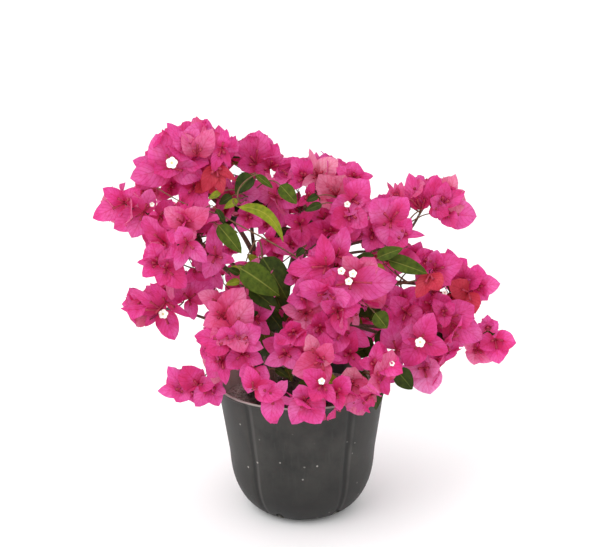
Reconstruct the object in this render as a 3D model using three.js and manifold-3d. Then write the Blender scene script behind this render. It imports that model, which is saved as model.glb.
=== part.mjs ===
// A bougainvillea bush in flower, standing in a black nursery pot.
//
// Millimetres, +Z up. The origin is the centre of the pot's flat underside, and -Y is the side that the bush is
// shown from. The pot is a thin blow-moulded bucket with five upright flutes, a rolled lip and drain holes round
// its foot, filled with potting soil. A short trunk rises from the soil and forks into arching canes, and each
// cane ends in a mass of the crown: a stem with twigs that carry three-bract blossoms, and a few green leaves.

import * as THREE from "three";
import { mergeVertices } from "three/addons/utils/BufferGeometryUtils.js";
import Module from "manifold-3d";

const wasm = await Module();
wasm.setup();

// ---------------------------------------------------------------------------------------------------------------
// Driving dimensions
// ---------------------------------------------------------------------------------------------------------------

const GAP = 0.3; // between touching pieces

const POT = {
  height: 187,
  topRadius: 117, // outside of the wall, under the lip
  lowRadius: 102.2, // outside of the wall, where it turns in to the foot
  footRise: 80, // height and width of that oval turn
  footTuck: 50,
  footSteps: 4,
  wall: 2.4,
  lip: 2.6, // how far the rolled lip stands out from the wall, and half its height
  flutes: 5,
  fluteTurn: -38.6, // degrees from the front to the first flute
  fluteWidth: 7.5, // degrees
  fluteDepth: 1.8,
  facetsPerFlute: 11,
  drainHoles: 6,
  drainTurn: -24, // degrees from the front to the first hole
  drainRadius: 6,
  drainHeight: 11,
};

const SOIL = {
  edge: 158, // height at the pot's wall
  top: 165, // height of the flat middle
  middle: 52, // radius of the flat middle
};

const TRUNK = {
  foot: [-38, 4],
  bend: [-54, 4, 226],
  top: [-34, 0, 276],
  footRadius: 8.5,
  topRadius: 6,
  flare: 6, // added at the foot, dying out upwards
  flareHeight: 14,
  sides: 10,
  segments: 8,
};

const CANE = { tipShare: 0.55, arch: 0.24, entersAt: 0.7, sides: 5, segments: 5 };

const STEM = { tipRadius: 1.2, past: 0.35, sides: 4, segments: 3 };

const TWIG = { rootRadius: 1.4, tipRadius: 1.1, sides: 3 };

// A blossom's three bracts, as shares of a bract's length.
const BLOSSOM = {
  length: 46,
  shoulder: 0.46, // how far along the bract is widest
  halfWidth: 0.42,
  fold: 0.12, // how far its edges are folded up
  heart: 2.4, // how far the middle stands up from the twig's end, mm
  open: 62, // degrees that the bracts lean out from the blossom's axis
  sizes: [1, 0.88, 0.76, 0.64, 0.5, 0.35], // of a bract, tried in turn until it fits
  least: 1.7, // what a blossom's three bracts add up to at least
  turns: [0, 40, 80], // degrees, tried in turn
  tries: 110, // places tried in a mass
  most: 10, // blossoms in a mass
};

const LEAF = { length: 54, halfWidth: 18, widest: 0.4, fold: 5, thickness: 1.4, sunk: 6, sizes: [1, 0.8] };

const CELL_MARGIN = 0.6; // from a leaf to the plane that parts its mass from the next
const TWIG_MARGIN = 2.2;
const TIP_REACH = 1.12; // how far bracts and leaves may stand out of the oval that holds their roots

// The heart of the crown, which every mass faces away from.
const HEART = new THREE.Vector3(-10, 10, 290);

// The crown: the limb that each cane leaves, how far along that limb, the cane's radius there, the centre and
// half-sizes of the mass at its tip, and how many leaves the mass has. Leafy tufts have no blossoms.
const CROWN = {
  // left
  top_left: ["trunk", 0.97, 4.4, [-146, -10, 492], [70, 64, 64], 2],
  top_left_rear: ["top_left", 0.42, 3.0, [-66, 58, 482], [62, 58, 54], 3],
  left_shoulder: ["trunk", 0.86, 4.0, [-216, -14, 424], [62, 58, 54], 1],
  left_inner: ["left_shoulder", 0.42, 3.0, [-142, -76, 396], [62, 54, 56], 2],
  left_arm: ["left_front", 0.4, 3.0, [-184, -20, 302], [66, 54, 50], 1],
  left_low: ["left_front", 0.22, 2.8, [-140, -68, 206], [54, 46, 38], 0],
  left_front: ["trunk", 0.56, 3.8, [-92, -104, 282], [54, 56, 64], 2],
  left_middle: ["left_inner", 0.5, 2.6, [-142, -40, 350], [50, 50, 46], 1],
  // middle
  top_middle: ["trunk", 1, 4.4, [18, 26, 460], [62, 60, 56], 4],
  top_right_middle: ["top_middle", 0.4, 3.2, [72, -24, 416], [56, 54, 54], 2],
  centre_front: ["trunk", 0.84, 3.8, [42, -98, 344], [60, 56, 58], 3],
  centre_middle: ["trunk", 0.66, 3.2, [-24, -112, 286], [52, 52, 52], 2],
  front_low_left: ["trunk", 0.46, 3.4, [-46, -142, 222], [48, 48, 48], 1],
  front_low_middle: ["front_low_left", 0.35, 2.8, [22, -150, 238], [48, 48, 54], 2],
  front_low_right: ["right_low", 0.3, 3.0, [90, -122, 236], [52, 52, 58], 2],
  // right
  right_inner: ["top_middle", 0.25, 3.0, [124, -30, 404], [48, 52, 50], 3],
  right_top: ["right_arm", 0.48, 2.8, [184, 6, 436], [64, 50, 46], 1],
  right_arm: ["trunk", 0.92, 4.2, [212, 8, 324], [68, 58, 54], 2],
  right_middle: ["right_arm", 0.4, 2.8, [142, -52, 336], [52, 50, 48], 2],
  right_tip: ["right_low", 0.5, 2.8, [258, -8, 242], [46, 44, 42], 1],
  right_low: ["trunk", 0.74, 4.0, [156, -62, 262], [60, 58, 64], 3],
  // rear
  rear_left: ["trunk", 0.88, 4.2, [-150, 104, 378], [74, 68, 78], 4],
  rear_middle: ["trunk", 0.95, 4.2, [12, 128, 394], [76, 70, 78], 4],
  rear_right: ["rear_middle", 0.35, 3.4, [140, 102, 362], [72, 68, 72], 4],
  rear_low_left: ["rear_left", 0.3, 3.2, [-90, 134, 258], [70, 60, 66], 4],
  rear_low_right: ["trunk", 0.68, 3.8, [78, 132, 254], [70, 60, 66], 4],
  // green tufts that show between the blossoms
  leafy_front: ["centre_middle", 0.5, 2.4, [-46, -74, 350], [46, 44, 48], 8],
  leafy_top: ["top_left_rear", 0.3, 2.4, [-66, -24, 436], [50, 46, 44], 8],
};
const LEAFY = /^leafy/;

// ---------------------------------------------------------------------------------------------------------------
// Materials
// ---------------------------------------------------------------------------------------------------------------

const finish = (color, roughness) => new THREE.MeshStandardMaterial({ color, roughness, metalness: 0 });

const POT_PLASTIC = finish(0x4a4845, 0.55);
const POTTING_SOIL = finish(0x3a2c22, 0.95);
const BARK = finish(0x6a5a40, 0.85);
const BRACT_PINK = finish(0xe0348c, 0.6);
const LEAF_GREEN = finish(0x4c7a2a, 0.5);

// ---------------------------------------------------------------------------------------------------------------
// Small tools
// ---------------------------------------------------------------------------------------------------------------

const { degToRad, lerp } = THREE.MathUtils;
const point = (p) => new THREE.Vector3(...p);
const GOLDEN_TURN = Math.PI * (3 - Math.sqrt(5));

// A repeatable stream of numbers from 0 to 1, so that the bush always grows the same.
function numbers(seed) {
  let state = seed;
  return () => (state = (state * 16807) % 2147483647) / 2147483647;
}

// Turns a three.js geometry into a solid, and a solid back into a geometry.
function solidOf(geometry) {
  const bare = geometry.clone();
  bare.deleteAttribute("normal");
  bare.deleteAttribute("uv");
  const merged = mergeVertices(bare, 1e-4);
  const vertProperties = new Float32Array(merged.attributes.position.array);
  const corners = Array.from(merged.index.array);
  const isTriangle = (i) => new Set(corners.slice(i - (i % 3), i - (i % 3) + 3)).size === 3;
  const triVerts = new Uint32Array(corners.filter((_, i) => isTriangle(i)));
  return new wasm.Manifold(new wasm.Mesh({ numProp: 3, vertProperties, triVerts }));
}

function geometryOf(solid) {
  const mesh = solid.getMesh();
  const geometry = new THREE.BufferGeometry();
  geometry.setAttribute("position", new THREE.BufferAttribute(mesh.vertProperties, mesh.numProp));
  geometry.setIndex(new THREE.BufferAttribute(mesh.triVerts, 1));
  geometry.computeVertexNormals();
  return geometry;
}

// The largest of a solid's separate bodies.
function wholeOf(solid) {
  return solid.decompose().reduce((best, body) => (body.volume() > best.volume() ? body : best));
}

const clear = (solid, others) => solid.intersect(others).isEmpty();

function named(name, solid, material) {
  const mesh = new THREE.Mesh(geometryOf(solid), material);
  mesh.name = name;
  return mesh;
}

// ---------------------------------------------------------------------------------------------------------------
// Pot and soil
// ---------------------------------------------------------------------------------------------------------------

const wallSlope = (POT.topRadius - POT.lowRadius) / (POT.height - 2 * POT.lip - POT.footRise);
const baseRadius = POT.lowRadius - POT.footTuck; // of the flat underside

// The outline of the pot's foot and wall, from the middle of the underside up to "top", all "inset" inside the
// real one.
function bucketOutline(inset, top) {
  const turnEnd = Math.PI / 2 - Math.atan(wallSlope);
  const outline = [new THREE.Vector2(0, inset)];
  for (let i = 0; i <= POT.footSteps; i++) {
    const angle = (i / POT.footSteps) * turnEnd;
    const out = (POT.footTuck - inset) * Math.sin(angle);
    const down = (POT.footRise - inset) * Math.cos(angle);
    outline.push(new THREE.Vector2(baseRadius + out, POT.footRise - down));
  }
  const wallRadius = POT.lowRadius - inset + (top - POT.footRise) * wallSlope;
  outline.push(new THREE.Vector2(wallRadius, top));
  return outline;
}

function turned(outline) {
  const geometry = new THREE.LatheGeometry(outline, POT.flutes * POT.facetsPerFlute);
  geometry.rotateX(Math.PI / 2);
  return geometry;
}

// Moves the lathe's even facets so that two narrow ones lie at each flute, and pulls the wall in between them.
function pressFlutes(geometry, pointsPerFacet) {
  const place = geometry.attributes.position;
  const pitch = 360 / POT.flutes;
  const plain = (pitch - POT.fluteWidth) / (POT.facetsPerFlute - 2);
  const top = POT.height - 2 * POT.lip;
  for (let i = 0; i < place.count; i++) {
    const facet = Math.floor(i / pointsPerFacet);
    const step = facet % POT.facetsPerFlute;
    const past = step === 0 ? 0 : POT.fluteWidth / 2 + (step - 1) * plain;
    const angle = degToRad(POT.fluteTurn + (facet - step) * (pitch / POT.facetsPerFlute) + past);
    const z = place.getZ(i);
    const onWall = step === 0 && z > POT.drainHeight && z < top + 0.01;
    const radius = Math.hypot(place.getX(i), place.getY(i)) - (onWall ? POT.fluteDepth : 0);
    place.setXYZ(i, radius * Math.sin(angle), -radius * Math.cos(angle), z);
  }
}

function makePot() {
  const lipFoot = POT.height - 2 * POT.lip;
  const lip = [
    [POT.topRadius + POT.lip, lipFoot],
    [POT.topRadius + POT.lip, POT.height - 0.6 * POT.lip],
    [POT.topRadius + 0.4 * POT.lip, POT.height],
    [POT.topRadius - POT.wall, POT.height - 0.2 * POT.lip],
  ];
  const outline = [
    ...bucketOutline(0, lipFoot),
    ...lip.map(([x, y]) => new THREE.Vector2(x, y)),
    ...bucketOutline(POT.wall, lipFoot).reverse(),
  ];
  const wall = turned(outline);
  pressFlutes(wall, outline.length);
  let pot = solidOf(wall);
  for (let i = 0; i < POT.drainHoles; i++) {
    const drill = new THREE.CylinderGeometry(POT.drainRadius, POT.drainRadius, POT.footTuck, 8);
    drill.translate(0, -baseRadius - POT.footTuck / 2, POT.drainHeight);
    drill.rotateZ(degToRad(POT.drainTurn) + (i / POT.drainHoles) * 2 * Math.PI);
    pot = pot.subtract(solidOf(drill));
  }
  return pot;
}

// Potting soil fills the pot to a few centimetres under the lip, and rises to a flat middle round the trunk.
function makeSoil() {
  const outline = [
    ...bucketOutline(POT.wall + POT.fluteDepth + GAP, SOIL.edge),
    new THREE.Vector2(SOIL.middle, SOIL.top),
    new THREE.Vector2(0, SOIL.top),
  ];
  return solidOf(turned(outline));
}

// ---------------------------------------------------------------------------------------------------------------
// Trunk and canes
// ---------------------------------------------------------------------------------------------------------------

// A round limb along its curve, fatter by "extra". A cylinder is bent to it.
function limbSolid({ curve, radiusAt, sides, segments }, extra = 0) {
  const bar = new THREE.CylinderGeometry(1, 1, 1, sides, segments);
  const frames = curve.computeFrenetFrames(segments, false);
  const place = bar.attributes.position;
  for (let i = 0; i < place.count; i++) {
    const share = place.getY(i) + 0.5;
    const step = Math.round(share * segments);
    const radius = radiusAt(share) + extra;
    const moved = curve
      .getPointAt(share)
      .addScaledVector(frames.binormals[step], place.getX(i) * radius)
      .addScaledVector(frames.normals[step], place.getZ(i) * radius);
    place.setXYZ(i, moved.x, moved.y, moved.z);
  }
  return solidOf(bar);
}

function growTrunk() {
  const foot = new THREE.Vector3(...TRUNK.foot, SOIL.top - TRUNK.topRadius);
  const curve = new THREE.QuadraticBezierCurve3(foot, point(TRUNK.bend), point(TRUNK.top));
  const height = TRUNK.top[2] - foot.z;
  const radiusAt = (share) =>
    lerp(TRUNK.footRadius, TRUNK.topRadius, share) + TRUNK.flare * Math.exp((-share * height) / TRUNK.flareHeight);
  return { curve, radiusAt, sides: TRUNK.sides, segments: TRUNK.segments };
}

// A cane leaves its parent along the parent's own way, arches over, and stops where it enters its mass.
function growCane(parent, at, thick, centre, half) {
  const root = parent.curve.getPointAt(at);
  const inward = root.clone().sub(centre).normalize();
  const tip = centre.clone().addScaledVector(inward, CANE.entersAt * Math.min(...half));
  const bend = root.clone().lerp(tip, 0.45);
  bend.addScaledVector(parent.curve.getTangentAt(at), CANE.arch * root.distanceTo(tip));
  const curve = new THREE.QuadraticBezierCurve3(root, bend, tip);
  const radiusAt = (share) => thick * lerp(1, CANE.tipShare, share);
  return { curve, radiusAt, sides: CANE.sides, segments: CANE.segments };
}

// A mass's stem carries on from its cane's tip, through the middle of the mass.
function growStem(cane, centre) {
  const along = cane.curve.getTangentAt(1);
  const start = cane.curve.getPointAt(1).addScaledVector(along, GAP);
  const end = centre.clone().addScaledVector(centre.clone().sub(start), STEM.past);
  const bend = start.clone().addScaledVector(along, 0.45 * start.distanceTo(end));
  const curve = new THREE.QuadraticBezierCurve3(start, bend, end);
  const radiusAt = (share) => lerp(cane.radiusAt(1), STEM.tipRadius, share);
  return { curve, radiusAt, sides: STEM.sides, segments: STEM.segments };
}

// ---------------------------------------------------------------------------------------------------------------
// Blossoms and leaves
// ---------------------------------------------------------------------------------------------------------------

// The corners of a blossom's bract, from its left shoulder over its tip to its right one. The blossom faces +Z.
function bractCorners(length, bract) {
  const open = degToRad(BLOSSOM.open);
  const { shoulder, halfWidth, fold } = BLOSSOM;
  const corners = [
    [shoulder, -halfWidth, fold],
    [1, 0, 0],
    [shoulder, halfWidth, fold],
  ];
  return corners.map(([along, across, up]) => {
    const out = along * Math.sin(open) - up * Math.cos(open);
    const rise = along * Math.cos(open) + up * Math.sin(open);
    const corner = new THREE.Vector3(out, across, rise).multiplyScalar(length);
    return corner.applyAxisAngle(new THREE.Vector3(0, 0, 1), (bract * 2 * Math.PI) / 3);
  });
}

// A blossom and its three-sided twig as one solid, drawn out of a sphere: the top is its heart, the widest row the
// corners of its bracts, and the rows below are the two ends of the twig. "carry" puts the blossom in place.
function blossomSolid(lengths, carry, root) {
  const rim = lengths.flatMap((length, bract) => bractCorners(length, bract)).map((p) => p.applyMatrix4(carry));
  const heart = new THREE.Vector3().applyMatrix4(carry);
  const top = new THREE.Vector3(0, 0, BLOSSOM.heart).applyMatrix4(carry);
  const facing = new THREE.Vector3().setFromMatrixColumn(carry, 2);
  const twig = new THREE.LineCurve3(root, heart).getTangent(0);
  const ringPoint = (end, axis, radius, i) => {
    const side = rim[3 * i + 1].clone().sub(heart).projectOnPlane(axis).setLength(radius);
    return end.clone().add(side);
  };
  const rows = [
    () => top,
    (column) => rim[column % rim.length],
    (column) => ringPoint(heart, facing, TWIG.tipRadius, Math.floor(column / 3) % TWIG.sides),
    (column) => ringPoint(root, twig, TWIG.rootRadius, Math.floor(column / 3) % TWIG.sides),
    () => root,
  ];
  const geometry = new THREE.SphereGeometry(1, rim.length, rows.length - 1);
  const place = geometry.attributes.position;
  for (let i = 0; i < place.count; i++) {
    const at = rows[Math.floor(i / (rim.length + 1))](i % (rim.length + 1));
    place.setXYZ(i, at.x, at.y, at.z);
  }
  return solidOf(geometry);
}

// A leaf of eight faces, widest towards its base and folded up along its midrib. It grows along +Y and faces +Z.
function leafShape(length) {
  const geometry = new THREE.OctahedronGeometry(1, 0);
  const place = geometry.attributes.position;
  const grown = length / LEAF.length;
  for (let i = 0; i < place.count; i++) {
    const [side, along, up] = [place.getX(i), place.getY(i), place.getZ(i)].map(Math.round);
    const y = along === 0 ? LEAF.widest : (along + 1) / 2;
    const z = side !== 0 ? LEAF.fold : (up * LEAF.thickness) / 2;
    place.setXYZ(i, side * LEAF.halfWidth * grown, y * length, z * grown);
  }
  return geometry;
}

// A vector turned away from an axis by an angle, at a bearing round it.
function leaning(axis, angle, bearing) {
  const across = new THREE.Vector3(axis.y, -axis.x, 0.01).cross(axis).normalize();
  return axis.clone().applyAxisAngle(across, angle).applyAxisAngle(axis, bearing);
}

// Places for blossoms, spread by the golden turn from the side that faces out of the crown round to the flanks.
function blossomPlaces(mass) {
  const next = numbers(mass.seed);
  return Array.from({ length: BLOSSOM.tries }, (_, i) => {
    const away = Math.acos(1 - 1.7 * ((i + 0.5) / BLOSSOM.tries));
    const way = leaning(mass.face, away, i * GOLDEN_TURN + 0.5 * next());
    const heart = mass.centre.clone().addScaledVector(way.clone().multiply(mass.half), 0.2 + 0.55 * next());
    const axis = way.clone().addScaledVector(mass.face, 0.8).normalize();
    const root = mass.stem.curve.getPointAt(0.25 + 0.6 * next());
    return { root, heart, axis, turn: 360 * next() };
  });
}

// Places for leaves, up the stem, each turned on from the last and drooping a little.
function leafPlaces(mass) {
  const next = numbers(mass.seed + 7);
  return Array.from({ length: mass.leaves }, (_, i) => {
    const root = mass.stem.curve.getPointAt(0.15 + (0.8 * (i + 0.5)) / mass.leaves);
    const along = leaning(mass.face, 1.0 + 0.6 * (next() - 0.5), i * GOLDEN_TURN + next());
    along.z -= 0.25;
    return { root, along: along.normalize(), length: LEAF.length * (0.85 + 0.3 * next()) };
  });
}

// ---------------------------------------------------------------------------------------------------------------
// Masses
// ---------------------------------------------------------------------------------------------------------------

// A mass's own space is its oval, cut by the planes that part it from the masses round it.
function keepsIn(mass, place, margin, reach = 1) {
  if (place.clone().sub(mass.centre).divide(mass.half).length() > reach) return false;
  const power = (m) => place.distanceToSquared(m.centre) - m.size * m.size;
  const fromPlane = (m) => (power(m) - power(mass)) / (2 * m.centre.distanceTo(mass.centre));
  return masses.every((other) => other === mass || fromPlane(other) > margin);
}

const cornersKeepIn = (mass, corners) => corners.every((p) => keepsIn(mass, p, CELL_MARGIN, TIP_REACH));

// A blossom whose bracts are each as large as keeps in the mass, turned so that it is clear of what is there.
function fittedBlossom(mass, taken, { root, heart, axis, turn }) {
  if (!keepsIn(mass, heart, TWIG_MARGIN) || !keepsIn(mass, root, TWIG_MARGIN)) return null;
  const facing = new THREE.Quaternion().setFromUnitVectors(new THREE.Vector3(0, 0, 1), axis);
  for (const more of BLOSSOM.turns) {
    const carry = new THREE.Matrix4().makeRotationFromQuaternion(facing).setPosition(heart);
    carry.multiply(new THREE.Matrix4().makeRotationZ(degToRad(turn + more)));
    const sizes = [0, 1, 2].map((bract) =>
      BLOSSOM.sizes.find((size) => {
        const corners = bractCorners(BLOSSOM.length * size, bract);
        return cornersKeepIn(mass, corners.map((corner) => corner.applyMatrix4(carry)));
      }),
    );
    if (!sizes.every(Boolean) || sizes[0] + sizes[1] + sizes[2] < BLOSSOM.least) continue;
    const solid = blossomSolid(sizes.map((size) => BLOSSOM.length * size), carry, root);
    if (clear(solid, taken)) return solid;
  }
  return null;
}

// A leaf as large as keeps in the mass and clear of what is there.
function fittedLeaf(mass, taken, { root, along, length }) {
  const across = new THREE.Vector3().crossVectors(along, mass.leafFace).normalize();
  const up = new THREE.Vector3().crossVectors(across, along);
  const start = root.clone().addScaledVector(along, -LEAF.sunk);
  const frame = new THREE.Matrix4().makeBasis(across, along, up).setPosition(start);
  for (const size of LEAF.sizes) {
    const geometry = leafShape(length * size).applyMatrix4(frame);
    const place = geometry.attributes.position;
    const corners = Array.from({ length: place.count }, (_, i) => new THREE.Vector3().fromBufferAttribute(place, i));
    if (!cornersKeepIn(mass, corners)) continue;
    const solid = solidOf(geometry);
    if (clear(solid, taken)) return solid;
  }
  return null;
}

// Grows a mass on its stem. A blossom or leaf that would leave the mass or touch anything else is skipped.
function makeMass(mass, limbs) {
  const parts = [];
  let taken = limbs;
  const add = (found) => {
    if (!found) return;
    parts.push(found);
    taken = taken.add(found);
  };
  for (const place of LEAFY.test(mass.name) ? [] : blossomPlaces(mass)) {
    if (parts.length < BLOSSOM.most) add(fittedBlossom(mass, taken, place));
  }
  for (const place of leafPlaces(mass)) add(fittedLeaf(mass, taken, place));
  return wholeOf(wasm.Manifold.union([limbSolid(mass.stem), ...parts]));
}

// ---------------------------------------------------------------------------------------------------------------
// Putting it together
// ---------------------------------------------------------------------------------------------------------------

const bush = new THREE.Group();
bush.add(named("pot", makePot(), POT_PLASTIC));
bush.add(named("soil", makeSoil(), POTTING_SOIL));

// The limbs in the order that they grow, each cut clear of those before it. The trunk is cut flat on the soil.
const limbs = { trunk: growTrunk() };
const waiting = Object.entries(CROWN);
while (waiting.length) {
  const i = waiting.findIndex(([, [from]]) => from in limbs);
  const [[name, [from, at, thick, centre, half]]] = waiting.splice(i, 1);
  limbs[name] = growCane(limbs[from], at, thick, point(centre), half);
}
const ground = new THREE.BoxGeometry(300, 300, SOIL.top).translate(0, 0, SOIL.top / 2 + GAP);
let grown = solidOf(ground);
for (const [name, limb] of Object.entries(limbs)) {
  const solid = wholeOf(limbSolid(limb).subtract(grown));
  bush.add(named(name === "trunk" ? name : `cane_${name}`, solid, BARK));
  grown = grown.add(limbSolid(limb, GAP));
}

const masses = Object.entries(CROWN).map(([name, [, , , centre, half, leaves]], i) => {
  const middle = point(centre);
  const face = middle.clone().sub(HEART).normalize();
  face.z += 0.25;
  return {
    name,
    centre: middle,
    half: point(half),
    size: (half[0] + half[1] + half[2]) / 3,
    face: face.normalize(),
    leafFace: face.clone().setZ(face.z + 0.8),
    leaves,
    seed: 1013 * (i + 1),
    stem: growStem(limbs[name], middle),
  };
});
for (const mass of masses) {
  const others = masses.filter((other) => other !== mass).map(({ stem }) => limbSolid(stem, 2 * GAP));
  const solid = makeMass(mass, wasm.Manifold.union([grown, ...others]));
  bush.add(named(`mass_${mass.name}`, solid, LEAFY.test(mass.name) ? LEAF_GREEN : BRACT_PINK));
}

export default bush;
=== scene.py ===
# A bougainvillea bush in full flower, standing in a black nursery pot.
#
# Metres, +Z up. The origin is the centre of the pot's flat underside, and -Y is the side that the bush is
# shown from. The sections follow the bush as it is put together: the pot and its soil, the trunk and canes,
# the masses of the crown, the blossoms with their tubes and stars, the leaves, and the twigs.

import math

import bpy
import numpy as np
from mathutils import Matrix, Quaternion, Vector


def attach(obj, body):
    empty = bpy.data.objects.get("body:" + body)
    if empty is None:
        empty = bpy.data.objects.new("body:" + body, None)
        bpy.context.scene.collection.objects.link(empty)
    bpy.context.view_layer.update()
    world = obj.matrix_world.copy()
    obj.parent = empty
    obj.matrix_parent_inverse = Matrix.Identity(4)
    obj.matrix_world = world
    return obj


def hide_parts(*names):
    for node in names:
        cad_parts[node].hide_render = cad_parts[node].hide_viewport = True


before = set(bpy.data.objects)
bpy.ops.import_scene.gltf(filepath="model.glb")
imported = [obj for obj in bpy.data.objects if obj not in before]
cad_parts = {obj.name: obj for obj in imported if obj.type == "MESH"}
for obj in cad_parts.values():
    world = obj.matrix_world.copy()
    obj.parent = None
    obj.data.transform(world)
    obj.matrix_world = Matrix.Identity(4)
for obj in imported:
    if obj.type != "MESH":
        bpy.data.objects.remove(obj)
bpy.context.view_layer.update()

# ------------------------------------------------------------------------------
# The camera
#
# It stands a little over a metre from the pot, at the height of a seated onlooker's eye, and looks down on
# the bush. It leans a little to its right.
# ------------------------------------------------------------------------------

CAMERA_PLACE = Vector((0, -1.2, 0.622))
CAMERA_DOWN = math.radians(13.39)
CAMERA_LEAN = math.radians(0.75)

bpy.ops.object.select_all(action="DESELECT")
bpy.ops.object.camera_add(location=CAMERA_PLACE)
camera = bpy.context.object
camera.name = "camera"
camera.rotation_mode = "ZYX"
camera.rotation_euler = (math.pi / 2 - CAMERA_DOWN, 0, -CAMERA_LEAN)
camera.data.sensor_width = 36
camera.data.lens = 54.24
bpy.context.scene.camera = camera

# ------------------------------------------------------------------------------
# The pot
#
# A thin bucket of black recycled polyethylene, blow-moulded in one piece: a tucked-in foot with drain
# holes, a wall with five upright flutes pressed in, and a lip rolled outwards. It has stood outdoors, so it
# is dusty.
# ------------------------------------------------------------------------------

POT_HEIGHT = 0.187
POT_LOW_RADIUS = 0.1022  # outside of the wall, where it turns in to the foot
POT_TOP_RADIUS = 0.117  # outside of the wall, under the lip
POT_WALL = 0.0024
FOOT_RISE = 0.080  # height and width of the foot's oval turn
FOOT_TUCK = 0.050
LIP = 0.0026  # how far the rolled lip stands out, and half its height
LIP_FIRST = -80  # the lip's roll, in degrees round its own middle
LIP_STEP = 18
LIP_STEPS = 11
POT_COLUMNS = 216
POT_SMOOTH = math.radians(40)
FLUTES = 5
FLUTE_TURN = math.radians(-38.6)
FLUTE_WIDTH = math.radians(7.5)
FLUTE_DEPTH = 0.0018
FLUTE_FADE = 0.006  # height over which a flute runs out at either end
FLUTE_PAST = 0.001  # how far it runs up under the lip
DRAIN_HOLES = 6
DRAIN_TURN = math.radians(-24)
DRAIN_RADIUS = 0.006
DRAIN_HEIGHT = 0.011
DRAIN_OUT = 0.022  # from the edge of the flat underside
DRAIN_DRILL = 0.05

wall_slope = (POT_TOP_RADIUS - POT_LOW_RADIUS) / (POT_HEIGHT - 2 * LIP - FOOT_RISE)
base_radius = POT_LOW_RADIUS - FOOT_TUCK


def wall_radius(inset, height):
    return POT_LOW_RADIUS - inset + (height - FOOT_RISE) * wall_slope


def bucket_outline(inset, top, turn_steps, wall_steps):
    """Radius and height up the foot's turn and the wall, all inset inside the real one."""
    turn_end = math.pi / 2 - math.atan(wall_slope)
    rings = []
    for i in range(turn_steps + 1):
        angle = turn_end * i / turn_steps
        out = (FOOT_TUCK - inset) * math.sin(angle)
        down = (FOOT_RISE - inset) * math.cos(angle)
        rings.append((base_radius + out, FOOT_RISE - down))
    for i in range(1, wall_steps + 1):
        height = FOOT_RISE + (top - FOOT_RISE) * i / wall_steps
        rings.append((wall_radius(inset, height), height))
    return rings


def turn_up(name, rings, columns):
    """A round shell drawn up from a disc, ring by ring. It stays in edit mode, its last ring selected."""
    bpy.ops.object.select_all(action="DESELECT")
    radius, height = rings[0]
    bpy.ops.mesh.primitive_circle_add(
        vertices=columns, radius=radius, location=(0, 0, height), fill_type="TRIFAN"
    )
    shell = bpy.context.object
    shell.name = name
    bpy.ops.object.transform_apply(location=True, rotation=True, scale=True)
    bpy.ops.object.mode_set(mode="EDIT")
    bpy.ops.mesh.select_mode(type="EDGE")
    bpy.ops.mesh.region_to_loop()
    for new_radius, new_height in rings[1:]:
        bpy.ops.mesh.extrude_region_move()
        grow = new_radius / radius
        bpy.ops.transform.resize(value=(grow, grow, 1), center_override=(0, 0, height))
        bpy.ops.transform.translate(value=(0, 0, new_height - height))
        radius, height = new_radius, new_height
    return shell


def close_shell():
    """Caps the last ring and ends edit mode with the normals pointing outwards."""
    bpy.ops.mesh.edge_face_add()
    bpy.ops.mesh.select_all(action="SELECT")
    bpy.ops.mesh.remove_doubles(threshold=1e-6)
    bpy.ops.mesh.normals_make_consistent(inside=False)
    bpy.ops.object.mode_set(mode="OBJECT")


lip_foot = POT_HEIGHT - 2 * LIP
outside = bucket_outline(0, lip_foot, turn_steps=12, wall_steps=14)
inside = bucket_outline(POT_WALL, lip_foot, turn_steps=10, wall_steps=8)
bead = []
for step in range(LIP_STEPS):
    angle = math.radians(LIP_FIRST + LIP_STEP * step)
    bead.append((POT_TOP_RADIUS + LIP * math.cos(angle), lip_foot + LIP + LIP * math.sin(angle)))
pot = turn_up("pot_bucket", outside + bead + inside[::-1], POT_COLUMNS)
close_shell()


def flute_pull(angle, height):
    """How far the wall is pulled in at a place, as a share of the flutes' depth."""
    pitch = 2 * math.pi / FLUTES
    off = abs((angle - FLUTE_TURN + pitch / 2) % pitch - pitch / 2)
    across = max(0.0, 1 - off / (FLUTE_WIDTH / 2))
    above = (height - DRAIN_HEIGHT) / FLUTE_FADE
    below = (lip_foot + FLUTE_PAST - height) / FLUTE_FADE
    along = min(1.0, max(0.0, above), max(0.0, below))
    return across * across * (3 - 2 * across) * along


for vertex in pot.data.vertices:
    x, y, z = vertex.co
    radius = math.hypot(x, y)
    if radius > base_radius:
        keep = 1 - FLUTE_DEPTH * flute_pull(math.atan2(x, -y), z) / radius
        vertex.co = (x * keep, y * keep, z)

drain_reach = base_radius + DRAIN_OUT
for i in range(DRAIN_HOLES):
    turn = DRAIN_TURN + i * 2 * math.pi / DRAIN_HOLES
    bpy.ops.object.select_all(action="DESELECT")
    bpy.ops.mesh.primitive_cylinder_add(
        vertices=32,
        radius=DRAIN_RADIUS,
        depth=DRAIN_DRILL,
        location=(drain_reach * math.sin(turn), -drain_reach * math.cos(turn), DRAIN_HEIGHT),
        rotation=(math.pi / 2, 0, turn),
    )
    drill = bpy.context.object
    hole = pot.modifiers.new("drain hole", "BOOLEAN")
    hole.object = drill
    hole.operation = "DIFFERENCE"
    hole.solver = "EXACT"
    bpy.context.view_layer.objects.active = pot
    bpy.ops.object.modifier_apply(modifier=hole.name)
    bpy.data.objects.remove(drill)
bpy.ops.object.select_all(action="DESELECT")
pot.select_set(True)
bpy.context.view_layer.objects.active = pot
bpy.ops.object.shade_smooth_by_angle(angle=POT_SMOOTH)


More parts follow.
